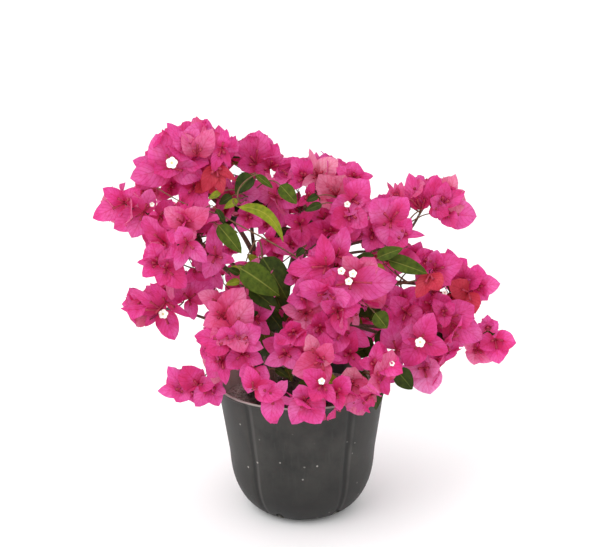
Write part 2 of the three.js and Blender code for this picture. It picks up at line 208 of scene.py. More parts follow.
class Finish:
    """A new material, and the steps that its pattern is put together from."""

    def __init__(self, name, roughness, shine=0.5):
        self.material = bpy.data.materials.new(name)
        self.material.use_nodes = True
        self.nodes = self.material.node_tree.nodes
        self.link = self.material.node_tree.links.new
        self.shader = self.nodes["Principled BSDF"]
        self.shader.inputs["Roughness"].default_value = roughness
        self.shader.inputs["Specular IOR Level"].default_value = shine

    def feed(self, sockets, values):
        """Gives each socket its link, colour or number."""
        for socket, value in zip(sockets, values):
            if isinstance(value, bpy.types.NodeSocket):
                self.link(value, socket)
            else:
                socket.default_value = (*value, 1) if isinstance(value, tuple) else value

    def stretched(self, source, stretch):
        mapping = self.nodes.new("ShaderNodeMapping")
        mapping.inputs["Scale"].default_value = stretch
        self.link(source, mapping.inputs["Vector"])
        return mapping.outputs["Vector"]

    def place(self, stretch=(1, 1, 1)):
        """The piece's own coordinates in metres, stretched."""
        return self.stretched(self.nodes.new("ShaderNodeTexCoord").outputs["Object"], stretch)

    def own(self):
        """The piece's UV map: across and along a blade, or round and along a limb."""
        uv = self.nodes.new("ShaderNodeUVMap")
        uv.uv_map = "own"
        return uv.outputs["UV"]

    def parts(self, vector):
        """A vector's x, y and z."""
        split = self.nodes.new("ShaderNodeSeparateXYZ")
        self.link(vector, split.inputs["Vector"])
        return split.outputs["X"], split.outputs["Y"], split.outputs["Z"]

    def noise(self, source, scale, detail=4, roughness=0.55):
        texture = self.nodes.new("ShaderNodeTexNoise")
        texture.inputs["Scale"].default_value = scale
        texture.inputs["Detail"].default_value = detail
        texture.inputs["Roughness"].default_value = roughness
        self.link(source, texture.inputs["Vector"])
        return texture.outputs["Fac"]

    def ramp(self, source, *stops):
        """Colours or greys along a value: (place, colour) pairs."""
        node = self.nodes.new("ShaderNodeValToRGB")
        self.link(source, node.inputs["Fac"])
        for i, (place, colour) in enumerate(stops):
            stop = node.color_ramp.elements[i] if i < 2 else node.color_ramp.elements.new(place)
            stop.position = place
            stop.color = (*colour, 1) if isinstance(colour, tuple) else (colour, colour, colour, 1)
        return node.outputs["Color"]

    def blended(self, share, first, second, kind="MIX"):
        """The first colour with the second laid over it by this share."""
        node = self.nodes.new("ShaderNodeMix")
        node.data_type = "RGBA"
        node.blend_type = kind
        self.feed((node.inputs[0], node.inputs[6], node.inputs[7]), (share, first, second))
        return node.outputs[2]

    def reckoned(self, kind, first, second=0.0):
        """One step of arithmetic."""
        node = self.nodes.new("ShaderNodeMath")
        node.operation = kind
        self.feed(node.inputs, (first, second))
        return node.outputs["Value"]

    def coloured(self, colour):
        self.link(colour, self.shader.inputs["Base Color"])

    def roughened(self, height, distance, strength=1.0):
        """Lets this height stand out of the surface as bump."""
        bump = self.nodes.new("ShaderNodeBump")
        bump.inputs["Strength"].default_value = strength
        bump.inputs["Distance"].default_value = distance
        self.link(height, bump.inputs["Height"])
        self.link(bump.outputs["Normal"], self.shader.inputs["Normal"])


# Black plastic gone grey, with cloudy dust, upright scuffs, and pale specks where water has dried.
POT_BLACK = (0.019, 0.019, 0.018)
POT_GREY = (0.050, 0.048, 0.044)
# pale dust, also used for the painted highlight on the lip's top
POT_DUST_AND_HIGHLIGHT = (0.52, 0.50, 0.46)
DRIED_SOIL = (0.46, 0.39, 0.35)
# painted shade for the flutes and the foot, and a painted highlight along the flutes' edges
PAINTED_SHADE_BLACK = (0.012, 0.012, 0.012)
FLUTE_HIGHLIGHT_GREY = (0.13, 0.125, 0.12)
FLUTE_HIGHLIGHT_TURN = 0.062  # radians from a flute's middle to its painted highlight

plastic = Finish("black recycled plastic", 0.5, shine=0.2)
here = plastic.place()
clouds = plastic.noise(here, 22, 6, 0.62)
colour = plastic.ramp(clouds, (0.3, POT_BLACK), (0.72, POT_GREY))
scuffs = plastic.noise(plastic.place((1, 1, 0.12)), 190, 3)
colour = plastic.blended(plastic.ramp(scuffs, (0.56, 0.0), (0.8, 0.5)), colour, POT_GREY)
specks = plastic.nodes.new("ShaderNodeTexVoronoi")
specks.inputs["Scale"].default_value = 75
plastic.link(here, specks.inputs["Vector"])
sparse = plastic.ramp(plastic.noise(here, 34, 2), (0.50, 0.0), (0.56, 1.0))
dots = plastic.ramp(specks.outputs["Distance"], (0.07, 0.65), (0.14, 0.0))
colour = plastic.blended(plastic.blended(1.0, dots, sparse, "MULTIPLY"), colour, POT_DUST_AND_HIGHLIGHT)
# painted shade: the colour darkens towards the foot
x, y, z = plastic.parts(here)
rise = plastic.reckoned("MULTIPLY", z, 1 / POT_HEIGHT)
colour = plastic.blended(plastic.ramp(rise, (0.2, 0.5), (0.55, 0.0)), colour, PAINTED_SHADE_BLACK)
# painted shade darkens the flutes, and a painted highlight, broken up by the clouds, runs along their
# right-hand edges
round_pot = plastic.reckoned("ARCTAN2", x, plastic.reckoned("MULTIPLY", y, -1))
angle = plastic.reckoned("SUBTRACT", round_pot, FLUTE_TURN)
off_flute = plastic.reckoned("PINGPONG", angle, math.pi / FLUTES)
off_highlight = plastic.reckoned("PINGPONG", plastic.reckoned("SUBTRACT", angle, FLUTE_HIGHLIGHT_TURN), math.pi / FLUTES)
colour = plastic.blended(plastic.ramp(off_flute, (0.014, 0.6), (0.040, 0.0)), colour, PAINTED_SHADE_BLACK)
flute_highlight = plastic.ramp(off_highlight, (0.008, 0.22), (0.026, 0.0))
flute_highlight = plastic.blended(1.0, flute_highlight, plastic.ramp(clouds, (0.35, 0.4), (0.6, 1.0)), "MULTIPLY")
colour = plastic.blended(flute_highlight, colour, FLUTE_HIGHLIGHT_GREY)
# dust lies where the lip faces up, and a painted highlight brightens it there
facing_x, facing_y, facing_z = plastic.parts(plastic.nodes.new("ShaderNodeNewGeometry").outputs["Normal"])
colour = plastic.blended(plastic.ramp(facing_z, (0.2, 0.0), (0.7, 0.95)), colour, POT_DUST_AND_HIGHLIGHT)
# soil has dried on the inside, at both sides
inward = plastic.reckoned("MULTIPLY", plastic.reckoned("MULTIPLY", facing_x, x), -1 / POT_TOP_RADIUS)
colour = plastic.blended(plastic.ramp(inward, (0.3, 0.0), (0.7, 1.0)), colour, DRIED_SOIL)
plastic.coloured(colour)
plastic.link(plastic.ramp(clouds, (0.3, 0.42), (0.75, 0.66)), plastic.shader.inputs["Roughness"])
plastic.roughened(plastic.noise(here, 900, 3), 0.00025, 0.5)
pot.data.materials.append(plastic.material)
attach(pot, "root")
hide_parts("pot")

# ------------------------------------------------------------------------------
# The soil
#
# Brown potting soil of peat and bark, filled in by hand to a few centimetres under the lip. Its top is
# crumbly, with small lumps and grains of white perlite lying on it.
# ------------------------------------------------------------------------------

SOIL_EDGE = 0.158
SOIL_TOP = 0.165
SOIL_MIDDLE = 0.052  # radius of the flat middle
SOIL_GAP = 0.0003
SOIL_RINGS = 9
SOIL_COLUMNS = 72
CRUMB_WIDTH = 0.011
CRUMB_HEIGHT = 0.006
SOIL_LUMPS = 700
LUMP_SEED = 417
LUMP_SIZE = (0.0013, 0.0024)  # the least, and how much more the largest has
PERLITE_SIZE = (0.0009, 0.0007)
PERLITE_SHARE = 0.12
LUMP_SUNK = 0.0008
LUMP_SQUASH = 0.5
RIM_CLEAR = 0.004
ANY_TURN = 6.3  # radians, a full turn


def lerp(a, b, share):
    return a + (b - a) * share


soil_outline = bucket_outline(POT_WALL + FLUTE_DEPTH + SOIL_GAP, SOIL_EDGE, turn_steps=8, wall_steps=4)
edge_radius = soil_outline[-1][0]
soil_rise = []
for ring in range(1, SOIL_RINGS):
    share = ring / SOIL_RINGS
    soil_rise.append((lerp(edge_radius, SOIL_MIDDLE, share), lerp(SOIL_EDGE, SOIL_TOP, share)))
soil_middle = [(SOIL_MIDDLE * (1 - ring / SOIL_RINGS), SOIL_TOP) for ring in range(SOIL_RINGS)]
soil = turn_up("potting_soil", soil_outline + soil_rise + soil_middle, SOIL_COLUMNS)
close_shell()
crumbs = bpy.data.textures.new("crumbs", "CLOUDS")
crumbs.noise_scale = CRUMB_WIDTH
crumbs.noise_depth = 4
top_group = soil.vertex_groups.new(name="top")
top_group.add([v.index for v in soil.data.vertices if v.co.z > SOIL_EDGE + 0.0005], 1, "REPLACE")
crumble = soil.modifiers.new("crumble", "DISPLACE")
crumble.texture = crumbs
crumble.texture_coords = "LOCAL"
crumble.direction = "Z"
crumble.strength = CRUMB_HEIGHT
crumble.mid_level = 0.75
crumble.vertex_group = "top"
bpy.context.view_layer.objects.active = soil
bpy.ops.object.modifier_apply(modifier=crumble.name)


def numbers(seed):
    """A repeatable stream of numbers from 0 to 1, so that the bush always grows the same."""
    state = seed
    while True:
        state = state * 16807 % 2147483647
        yield state / 2147483647


def drawn(draw, least, more):
    return least + more * next(draw)


def joined(name, patches, materials, nodes_replaced=(), smooth=True):
    """One piece out of many small meshes: (points, faces, uv per point, material number)."""
    points, faces, uvs, finishes, count = [], [], [], [], 0
    for patch_points, patch_faces, patch_uv, finish in patches:
        points.append(patch_points)
        uvs.append(patch_uv)
        faces.extend([tuple(count + i for i in face) for face in patch_faces])
        finishes.extend([finish] * len(patch_faces))
        count += len(patch_points)
    mesh = bpy.data.meshes.new(name)
    mesh.from_pydata(np.concatenate(points).tolist(), [], faces)
    layer = mesh.uv_layers.new(name="own")
    corners = np.zeros(len(mesh.loops), np.int32)
    mesh.loops.foreach_get("vertex_index", corners)
    layer.data.foreach_set("uv", np.concatenate(uvs)[corners].astype(np.float32).ravel())
    mesh.polygons.foreach_set("material_index", np.array(finishes, np.int32))
    mesh.polygons.foreach_set("use_smooth", [smooth] * len(mesh.polygons))
    for material in materials:
        mesh.materials.append(material)
    mesh.update()
    piece = bpy.data.objects.new(name, mesh)
    bpy.context.scene.collection.objects.link(piece)
    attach(piece, "root")
    if nodes_replaced:
        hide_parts(*nodes_replaced)


# Lumps of bark and grains of perlite, each a squashed and turned ball of twenty faces.
bpy.ops.object.select_all(action="DESELECT")
bpy.ops.mesh.primitive_ico_sphere_add(subdivisions=1, radius=1)
ball = bpy.context.object
ball_points = np.array([v.co for v in ball.data.vertices])
ball_faces = [tuple(p.vertices) for p in ball.data.polygons]
bpy.data.objects.remove(ball)

draw = numbers(LUMP_SEED)
lumps = []
for i in range(SOIL_LUMPS):
    reach = (edge_radius - RIM_CLEAR) * math.sqrt(next(draw))
    turn = 2 * math.pi * next(draw)
    share = min(1.0, (edge_radius - reach) / (edge_radius - SOIL_MIDDLE))
    height = lerp(SOIL_EDGE, SOIL_TOP, share) - LUMP_SUNK
    perlite = next(draw) < PERLITE_SHARE
    size = drawn(draw, *PERLITE_SIZE) if perlite else LUMP_SIZE[0] + LUMP_SIZE[1] * next(draw) ** 2
    shape = Matrix.Rotation(ANY_TURN * next(draw), 3, "Z") @ Matrix.Rotation(0.8 * next(draw), 3, "X")
    squash = np.array([1.0, 0.75 + 0.25 * next(draw), LUMP_SQUASH]) * size
    place = np.array([reach * math.sin(turn), -reach * math.cos(turn), height + 0.3 * size])
    own = (ball_points * squash) @ np.array(shape).T + place
    lumps.append((own, ball_faces, ball_points[:, :2], 1 if perlite else 0))

SOIL_DARK = (0.014, 0.009, 0.006)
SOIL_BROWN = (0.075, 0.048, 0.03)
SOIL_DUST = (0.17, 0.14, 0.12)
SOIL_DRY = (0.50, 0.45, 0.42)
PERLITE_GREY = (0.4, 0.38, 0.34)
PERLITE_WHITE = (0.6, 0.58, 0.54)

# The soil is damp and dark in the middle, and dry and dusty towards the wall.
peat = Finish("peaty soil", 0.95)
here = peat.place()
grain = peat.noise(here, 260, 6, 0.7)
damp = peat.ramp(grain, (0.35, SOIL_DARK), (0.68, SOIL_BROWN))
dry = peat.ramp(grain, (0.35, SOIL_DUST), (0.62, SOIL_DRY))
x, y, z = peat.parts(here)
square = peat.reckoned("ADD", peat.reckoned("POWER", x, 2), peat.reckoned("POWER", y, 2))
out = peat.reckoned("MULTIPLY", peat.reckoned("SQRT", square), 1 / edge_radius)
peat.coloured(peat.blended(peat.ramp(out, (0.66, 0.0), (0.84, 0.95)), damp, dry))
peat.roughened(grain, 0.002)
soil.data.materials.append(peat.material)


def mottled(name, roughness, scale, detail, dark, pale):
    """A plain material whose colour wavers between two."""
    finish = Finish(name, roughness)
    mottle = finish.noise(finish.place(), scale, detail)
    finish.coloured(finish.ramp(mottle, (0.3, dark), (0.7, pale)))
    return finish.material


perlite_finish = mottled("perlite", 0.9, 900, 3, PERLITE_GREY, PERLITE_WHITE)
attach(soil, "root")
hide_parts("soil")
joined("soil_lumps", lumps, [peat.material, perlite_finish], smooth=False)

# ------------------------------------------------------------------------------
# The trunk and canes
#
# A short woody trunk leans out of the soil, flared at its foot, and forks into arching canes. The bark is
# thin, pale brown and ridged lengthwise, with knots where old shoots have been cut.
# ------------------------------------------------------------------------------

TRUNK_FOOT = Vector((-0.038, 0.004, 0.159))
TRUNK_BEND = Vector((-0.054, 0.004, 0.226))
TRUNK_TOP = Vector((-0.034, 0, 0.276))
TRUNK_FOOT_RADIUS = 0.0085
TRUNK_TOP_RADIUS = 0.006
TRUNK_FLARE = 0.006
TRUNK_FLARE_HEIGHT = 0.014
CANE_TIP_SHARE = 0.55
CANE_ARCH = 0.24
CANE_ENTERS = 0.7  # where a cane stops, as a share of its mass's least half-size
LIMB_BEND = 0.45  # how far along a limb its bend lies

# The crown: the limb that each cane leaves, how far along that limb, and the cane's radius there. Then the
# centre and half-sizes of the mass at its tip, in millimetres, and how many tufts of leaves the mass has.
MM = 0.001
CROWN = {
    # left
    "top_left": ("trunk", 0.97, 4.4, (-146, -10, 492), (70, 64, 64), 2),
    "top_left_rear": ("top_left", 0.42, 3.0, (-66, 58, 482), (62, 58, 54), 3),
    "left_shoulder": ("trunk", 0.86, 4.0, (-216, -14, 424), (62, 58, 54), 1),
    "left_inner": ("left_shoulder", 0.42, 3.0, (-142, -76, 396), (62, 54, 56), 2),
    "left_arm": ("left_front", 0.4, 3.0, (-184, -20, 302), (66, 54, 50), 1),
    "left_low": ("left_front", 0.22, 2.8, (-140, -68, 206), (54, 46, 38), 0),
    "left_front": ("trunk", 0.56, 3.8, (-92, -104, 282), (54, 56, 64), 2),
    "left_middle": ("left_inner", 0.5, 2.6, (-142, -40, 350), (50, 50, 46), 1),
    # middle
    "top_middle": ("trunk", 1, 4.4, (18, 26, 460), (62, 60, 56), 4),
    "top_right_middle": ("top_middle", 0.4, 3.2, (72, -24, 416), (56, 54, 54), 2),
    "centre_front": ("trunk", 0.84, 3.8, (42, -98, 344), (60, 56, 58), 3),
    "centre_middle": ("trunk", 0.66, 3.2, (-24, -112, 286), (52, 52, 52), 2),
    "front_low_left": ("trunk", 0.46, 3.4, (-46, -142, 222), (48, 48, 48), 1),
    "front_low_middle": ("front_low_left", 0.35, 2.8, (22, -150, 238), (48, 48, 54), 2),
    "front_low_right": ("right_low", 0.3, 3.0, (90, -122, 236), (52, 52, 58), 2),
    # right
    "right_inner": ("top_middle", 0.25, 3.0, (124, -30, 404), (48, 52, 50), 3),
    "right_top": ("right_arm", 0.48, 2.8, (184, 6, 436), (64, 50, 46), 1),
    "right_arm": ("trunk", 0.92, 4.2, (212, 8, 324), (68, 58, 54), 2),
    "right_middle": ("right_arm", 0.4, 2.8, (142, -52, 336), (52, 50, 48), 2),
    "right_tip": ("right_low", 0.5, 2.8, (258, -8, 242), (46, 44, 42), 1),
    "right_low": ("trunk", 0.74, 4.0, (156, -62, 262), (60, 58, 64), 3),
    # rear
    "rear_left": ("trunk", 0.88, 4.2, (-150, 104, 378), (74, 68, 78), 4),
    "rear_middle": ("trunk", 0.95, 4.2, (12, 128, 394), (76, 70, 78), 4),
    "rear_right": ("rear_middle", 0.35, 3.4, (140, 102, 362), (72, 68, 72), 4),
    "rear_low_left": ("rear_left", 0.3, 3.2, (-90, 134, 258), (70, 60, 66), 4),
    "rear_low_right": ("trunk", 0.68, 3.8, (78, 132, 254), (70, 60, 66), 4),
    # green tufts that show between the blossoms
    "leafy_front": ("centre_middle", 0.5, 2.4, (-46, -74, 350), (46, 44, 48), 8),
    "leafy_top": ("top_left_rear", 0.3, 2.4, (-66, -24, 436), (50, 46, 44), 8),
}


class Limb:
    """A limb that runs from its root over a bend to its tip, and thins as thick(share) says."""

    STEPS = 200

    def __init__(self, root, bend, tip, thick):
        self.root, self.bend, self.tip, self.thick = root, bend, tip, thick
        places = [self.at(i / self.STEPS) for i in range(self.STEPS + 1)]
        self.run = [0.0]
        for a, b in zip(places, places[1:]):
            self.run.append(self.run[-1] + (b - a).length)
        self.length = self.run[-1]

    def at(self, t):
        return self.root * (1 - t) ** 2 + self.bend * (2 * t * (1 - t)) + self.tip * t**2

    def curve_share(self, share):
        """The curve's own parameter at a share of its length."""
        return float(np.interp(share * self.length, self.run, np.linspace(0, 1, self.STEPS + 1)))

    def point(self, share):
        return self.at(self.curve_share(share))

    def way(self, share):
        t = self.curve_share(share)
        return ((self.bend - self.root) * (1 - t) + (self.tip - self.bend) * t).normalized()


def trunk_radius(share):
    height = TRUNK_TOP.z - TRUNK_FOOT.z
    flare = TRUNK_FLARE * math.exp(-share * height / TRUNK_FLARE_HEIGHT)
    return lerp(TRUNK_FOOT_RADIUS, TRUNK_TOP_RADIUS, share) + flare


def grow_cane(parent, at, thick, centre, half):
    """A cane leaves its parent along the parent's way, arches over, and stops where it enters its mass."""
    root = parent.point(at)
    tip = centre + (root - centre).normalized() * (CANE_ENTERS * min(half))
    bend = root.lerp(tip, LIMB_BEND) + parent.way(at) * (CANE_ARCH * (tip - root).length)
    return Limb(root, bend, tip, lambda share: thick * lerp(1, CANE_TIP_SHARE, share))


limbs = {"trunk": Limb(TRUNK_FOOT, TRUNK_BEND, TRUNK_TOP, trunk_radius)}
while len(limbs) <= len(CROWN):
    for name, (parent, at, thick, centre, half, _) in CROWN.items():
        if name not in limbs and parent in limbs:
            limbs[name] = grow_cane(limbs[parent], at, thick * MM, Vector(centre) * MM, Vector(half) * MM)

KNOT_SPACING = 0.045
KNOT_LENGTH = 0.0035
KNOT_SWELL = 2.2  # in parts of the relief


def tube(limb, sides, ring_gap, relief=0.0, seed=1, start=0.0, finish=0):
    """A round limb as a mesh, its bark ridged lengthwise by relief, with both ends closed."""
    rings = max(3, round(limb.length * (1 - start) / ring_gap) + 1)
    draw = numbers(seed)
    phases = [2 * math.pi * next(draw) for _ in range(8)]
    knots = [(next(draw), 2 * math.pi * next(draw)) for _ in range(round(limb.length / KNOT_SPACING))]
    across = limb.way(start).orthogonal().normalized()
    angles = np.arange(sides) * 2 * math.pi / sides
    points, uv = [], []
    for ring in range(rings):
        share = start + (1 - start) * ring / (rings - 1)
        way = limb.way(share)
        across = (across - way * across.dot(way)).normalized()
        other = way.cross(across)
        run = share * limb.length
        bark = (
            0.5 * np.sin(3 * angles + phases[0] + 22 * run)
            + 0.35 * np.sin(5 * angles + phases[1] - 31 * run)
            + 0.3 * np.sin(7 * angles + phases[2] + 64 * run)
            + 0.3 * np.sin(2 * angles + phases[3] + 160 * run)
        )
        for knot_share, knot_angle in knots:
            near = math.exp(-(((share - knot_share) * limb.length / KNOT_LENGTH) ** 2))
            bark = bark + KNOT_SWELL * near * np.maximum(0, np.cos(angles - knot_angle)) ** 3
        radii = limb.thick(share) * (1 + relief * bark)
        middle = np.array(limb.point(share))
        ring_points = middle + np.outer(np.cos(angles) * radii, across)
        points.append(ring_points + np.outer(np.sin(angles) * radii, other))
        uv.append(np.stack([angles / (2 * math.pi), np.full(sides, run * 10)], 1))
    faces = []
    for ring in range(rings - 1):
        for side in range(sides):
            a, b = ring * sides + side, ring * sides + (side + 1) % sides
            faces.append((a, b, b + sides, a + sides))
    faces.append(tuple(reversed(range(sides))))
    faces.append(tuple(range((rings - 1) * sides, rings * sides)))
    return np.concatenate(points), faces, np.concatenate(uv), finish


BARK_RELIEF = 0.075
BARK_SEED = 31
TRUNK_CUT = 0.055  # the share of its length that the soil would hold
TRUNK_RING_GAP = 0.0016
CANE_RING_GAP = 0.0035
wood = []
for i, (name, limb) in enumerate(limbs.items()):
    if name == "trunk":
        wood.append(tube(limb, 28, TRUNK_RING_GAP, BARK_RELIEF, BARK_SEED, start=TRUNK_CUT))
    else:
        wood.append(tube(limb, 12, CANE_RING_GAP, BARK_RELIEF, BARK_SEED + i))

BARK_DARK = (0.035, 0.022, 0.015)
BARK_BROWN = (0.12, 0.08, 0.052)
BARK_PALE = (0.25, 0.19, 0.13)


def bark_finish(name, dark, middle, pale):
    """Thin bark with streaks along the limb and a fine grain."""
    bark = Finish(name, 0.85)
    streaks = bark.noise(bark.stretched(bark.own(), (9, 1.2, 1)), 2.2, 6, 0.65)
    grain = bark.noise(bark.place(), 420, 4)
    both = bark.blended(0.4, streaks, grain)
    bark.coloured(bark.ramp(both, (0.34, dark), (0.68, pale), (0.5, middle)))
    bark.roughened(both, 0.0009, 0.8)
    return bark.material


ridged_bark = bark_finish("ridged bark", BARK_DARK, BARK_BROWN, BARK_PALE)
joined("trunk_and_canes", wood, [ridged_bark], ["trunk"] + [f"cane_{name}" for name in CROWN])

# ------------------------------------------------------------------------------
# The masses of the crown
#
# Each cane carries on as a thin stem through the middle of its mass, and sprays leave the stem on all
# sides. A mass keeps to its own oval space, and the whole crown keeps to its outline, with the openings in
# it.
# ------------------------------------------------------------------------------

CANE_GAP = 0.0003
STEM_TIP_RADIUS = 0.0012
STEM_PAST = 0.35  # how far the stem runs on past its mass's centre, as a share of the way to it
GOLDEN_TURN = math.pi * (3 - math.sqrt(5))
HEART = Vector((-0.010, 0.010, 0.290))  # of the crown, which every mass faces away from
SIDE_SHOWN = Vector((0, -1, 0))
CELL_OVERLAP = -0.008  # how far neighbouring masses may mingle
TIP_REACH = 1.1  # how far bracts and leaves may reach, where 1 is the edge of their mass's oval
TWIG_MARGIN = 0.0022
SPRAY_TRIES = 110  # places tried in a mass
SPRAY_STRIDE = 37  # the order in which they are tried
SPRAYS = 12  # of a mass, at most
SPRAYS_BEHIND = 17  # of a mass of the rear half
SPRAYS_AMONG_LEAVES = 4
SPRAY_SPACING = 0.027
SPRAY_CAP = 1.7  # how far round a mass the sprays go, where 2 is all round
SPRAY_REACH = (0.25, 0.55)  # least share of the oval's half-size, and how much more
SPRAY_ROOT = (0.25, 0.6)  # the same along the stem
BEARING_PLAY = 0.5  # radians
FACE_PULL = 0.8  # how much a spray turns the way that its mass faces
MASS_SEED = 1013
FACE_RISE = 0.25  # how much a mass, and its leaves, face upwards too
LEAF_RISE = 0.8


class Mass:
    """One mass of the crown, with its oval space and the stem through its middle."""

    def __init__(self, name, number):
        centre, half, self.leaves = CROWN[name][3:]
        self.name, self.seed = name, MASS_SEED * (number + 1)
        self.leafy = name.startswith("leafy")
        self.centre, self.half = Vector(centre) * MM, Vector(half) * MM
        self.size = sum(self.half) / 3
        face = (self.centre - HEART).normalized()
        face.z += FACE_RISE
        self.face = face.normalized()
        self.leaf_face = self.face + Vector((0, 0, LEAF_RISE))
        cane = limbs[name]
        along = cane.way(1)
        start = cane.tip + along * CANE_GAP
        end = self.centre + (self.centre - start) * STEM_PAST
        bend = start + along * (LIMB_BEND * (end - start).length)
        self.stem = Limb(start, bend, end, lambda share: lerp(cane.thick(1), STEM_TIP_RADIUS, share))


masses = [Mass(name, i) for i, name in enumerate(CROWN)]
mass_nodes = [f"mass_{mass.name}" for mass in masses]
mass_centres = np.array([mass.centre for mass in masses])
mass_sizes = np.array([mass.size for mass in masses])


def keeps_in(mass, places, margin, reach=1.0):
    """A mass's own space is its oval, cut by the planes that part it from the masses round it."""
    places = np.atleast_2d(np.array(places, float))
    centre, half = np.array(mass.centre), np.array(mass.half)
    if np.linalg.norm((places - centre) / half, axis=1).max() > reach:
        return False
    power = ((places[:, None] - mass_centres) ** 2).sum(2) - mass_sizes**2
    own = masses.index(mass)
    apart = np.linalg.norm(mass_centres - centre, axis=1)
    apart[own] = 1
    from_plane = (power - power[:, own : own + 1]) / (2 * apart)
    from_plane[:, own] = 1
    return from_plane.min() > margin


def leaning(axis, angle, bearing):
    """A vector turned away from an axis by an angle, at a bearing round it."""
    across = Vector((axis.y, -axis.x, 0.01)).cross(axis).normalized()
    turned = axis.copy()
    turned.rotate(Quaternion(across, angle))
    turned.rotate(Quaternion(axis, bearing))
    return turned


def spray_places(mass):
    """Root, tip, axis and turn of each spray, by the golden turn from the side that faces outwards."""
    draw = numbers(mass.seed)
    for step in range(SPRAY_TRIES):
        i = step * SPRAY_STRIDE % SPRAY_TRIES
        away = math.acos(1 - SPRAY_CAP * ((i + 0.5) / SPRAY_TRIES))
        way = leaning(mass.face, away, i * GOLDEN_TURN + BEARING_PLAY * next(draw))
        reach = drawn(draw, *SPRAY_REACH)
        tip = mass.centre + Vector(a * b for a, b in zip(way, mass.half)) * reach
        axis = (way + mass.face * FACE_PULL).normalized()
        root = mass.stem.point(drawn(draw, *SPRAY_ROOT))
        turn = math.radians(360 * next(draw))
        if keeps_in(mass, tip, TWIG_MARGIN) and keeps_in(mass, root, TWIG_MARGIN):
            yield root, tip, axis, turn


# The crown's outline as seen from the camera, the openings in it where the sky shows, and the hollows
# where only what grows behind them shows. They lie on an upright plane through the crown's front half: x
# and z there in millimetres, and a gap's radius.
SKY_PLANE = -0.040
OUTLINE = [
    (-265, 425), (-251, 463), (-213, 478), (-209, 502), (-189, 516), (-175, 538), (-152, 542),
    (-137, 551), (-116, 551), (-94, 533), (-74, 522), (-59, 533), (-38, 530), (-18, 503), (5, 499),
    (25, 508), (56, 497), (79, 494), (96, 472), (89, 444), (115, 455), (117, 465), (146, 475),
    (202, 473), (213, 450), (234, 418), (215, 405), (196, 410), (180, 426), (153, 438), (143, 413),
    (137, 388), (193, 367), (235, 350), (259, 325), (237, 287), (253, 284), (290, 252), (268, 228),
    (239, 218), (216, 234), (192, 215), (190, 180), (168, 175), (150, 188), (118, 190), (104, 149),
    (39, 136), (-44, 134), (-84, 164), (-117, 163), (-152, 166), (-190, 186), (-180, 217),
    (-155, 225), (-130, 213), (-142, 259), (-126, 281), (-157, 281), (-165, 255), (-188, 276),
    (-218, 272), (-241, 301), (-225, 332), (-185, 337), (-209, 356), (-205, 383), (-218, 404),
]
OPENINGS = [
    (-83, 484, 6), (-33, 482, 4), (9, 457, 7), (-112, 441, 4), (-191, 440, 4), (-126, 392, 5),
    (-46, 406, 5), (-65, 390, 9), (-76, 371, 6), (-94, 368, 4), (-146, 359, 6), (-17, 368, 3),
    (-6, 420, 5), (-105, 328, 5), (-15, 326, 4), (-160, 299, 5), (-129, 299, 5), (149, 431, 9),
    (74, 376, 8), (140, 337, 9), (190, 319, 4), (-160, 447, 4), (-100, 189, 7), (-92, 180, 6),
    (-82, 174, 5), (-70, 168, 4), (-24, 156, 4), (40, 161, 5),
]
HOLLOWS = [
    (-34, 289, 12), (-30, 303, 9), (-38, 269, 9), (-53, 234, 8), (-26, 206, 11), (-15, 197, 8),
    (47, 214, 9), (85, 236, 8), (89, 284, 9), (47, 294, 5), (2, 376, 9), (15, 434, 9),
    (148, 325, 4), (185, 256, 4), (-91, 206, 7),
]
HOLLOW_DEPTH = -0.075  # the sprays behind this still show in a hollow
outline = np.array(OUTLINE) * MM
openings = np.array(OPENINGS) * MM
hollows = np.array(HOLLOWS) * MM


def on_sky_plane(points):
    """Where the camera sees these points on the sky plane: their x and z, each as a column."""
    points = np.atleast_2d(np.array(points, float))
    eye = np.array(CAMERA_PLACE)
    shrink = (SKY_PLANE - eye[1]) / (points[:, 1] - eye[1])
    x = eye[0] + (points[:, 0] - eye[0]) * shrink
    z = eye[2] + (points[:, 2] - eye[2]) * shrink
    return x[:, None], z[:, None]


def in_gap(points, x, z):
    """True if any of these points hides an opening, or stands in front of a hollow."""
    if (np.hypot(x - openings[:, 0], z - openings[:, 1]) < openings[:, 2]).any():
        return True
    near = np.atleast_2d(np.array(points, float))[:, 1] < HOLLOW_DEPTH
    in_hollow = np.hypot(x - hollows[:, 0], z - hollows[:, 1]) < hollows[:, 2]
    return bool((in_hollow & near[:, None]).any())


def in_sky(points):
    """True if the camera would see any of these points outside the crown's outline, or in a gap of it."""
    x, z = on_sky_plane(points)
    if in_gap(points, x, z):
        return True
    x1, z1 = outline.T
    x2, z2 = np.roll(outline, -1, axis=0).T
    crossing = ((z1 > z) != (z2 > z)) & (x < x1 + (x2 - x1) * (z - z1) / (z2 - z1))
    return bool((crossing.sum(1) % 2 == 0).any())


# ------------------------------------------------------------------------------
# The blossoms' bracts
#
# What looks like petals are three papery bracts round each blossom, ovate with a pointed tip, cupped, waved
# and veined. Most are magenta or hot pink, with rose, blush and pale ones among them, and the old ones are
# orange-red.
# ------------------------------------------------------------------------------

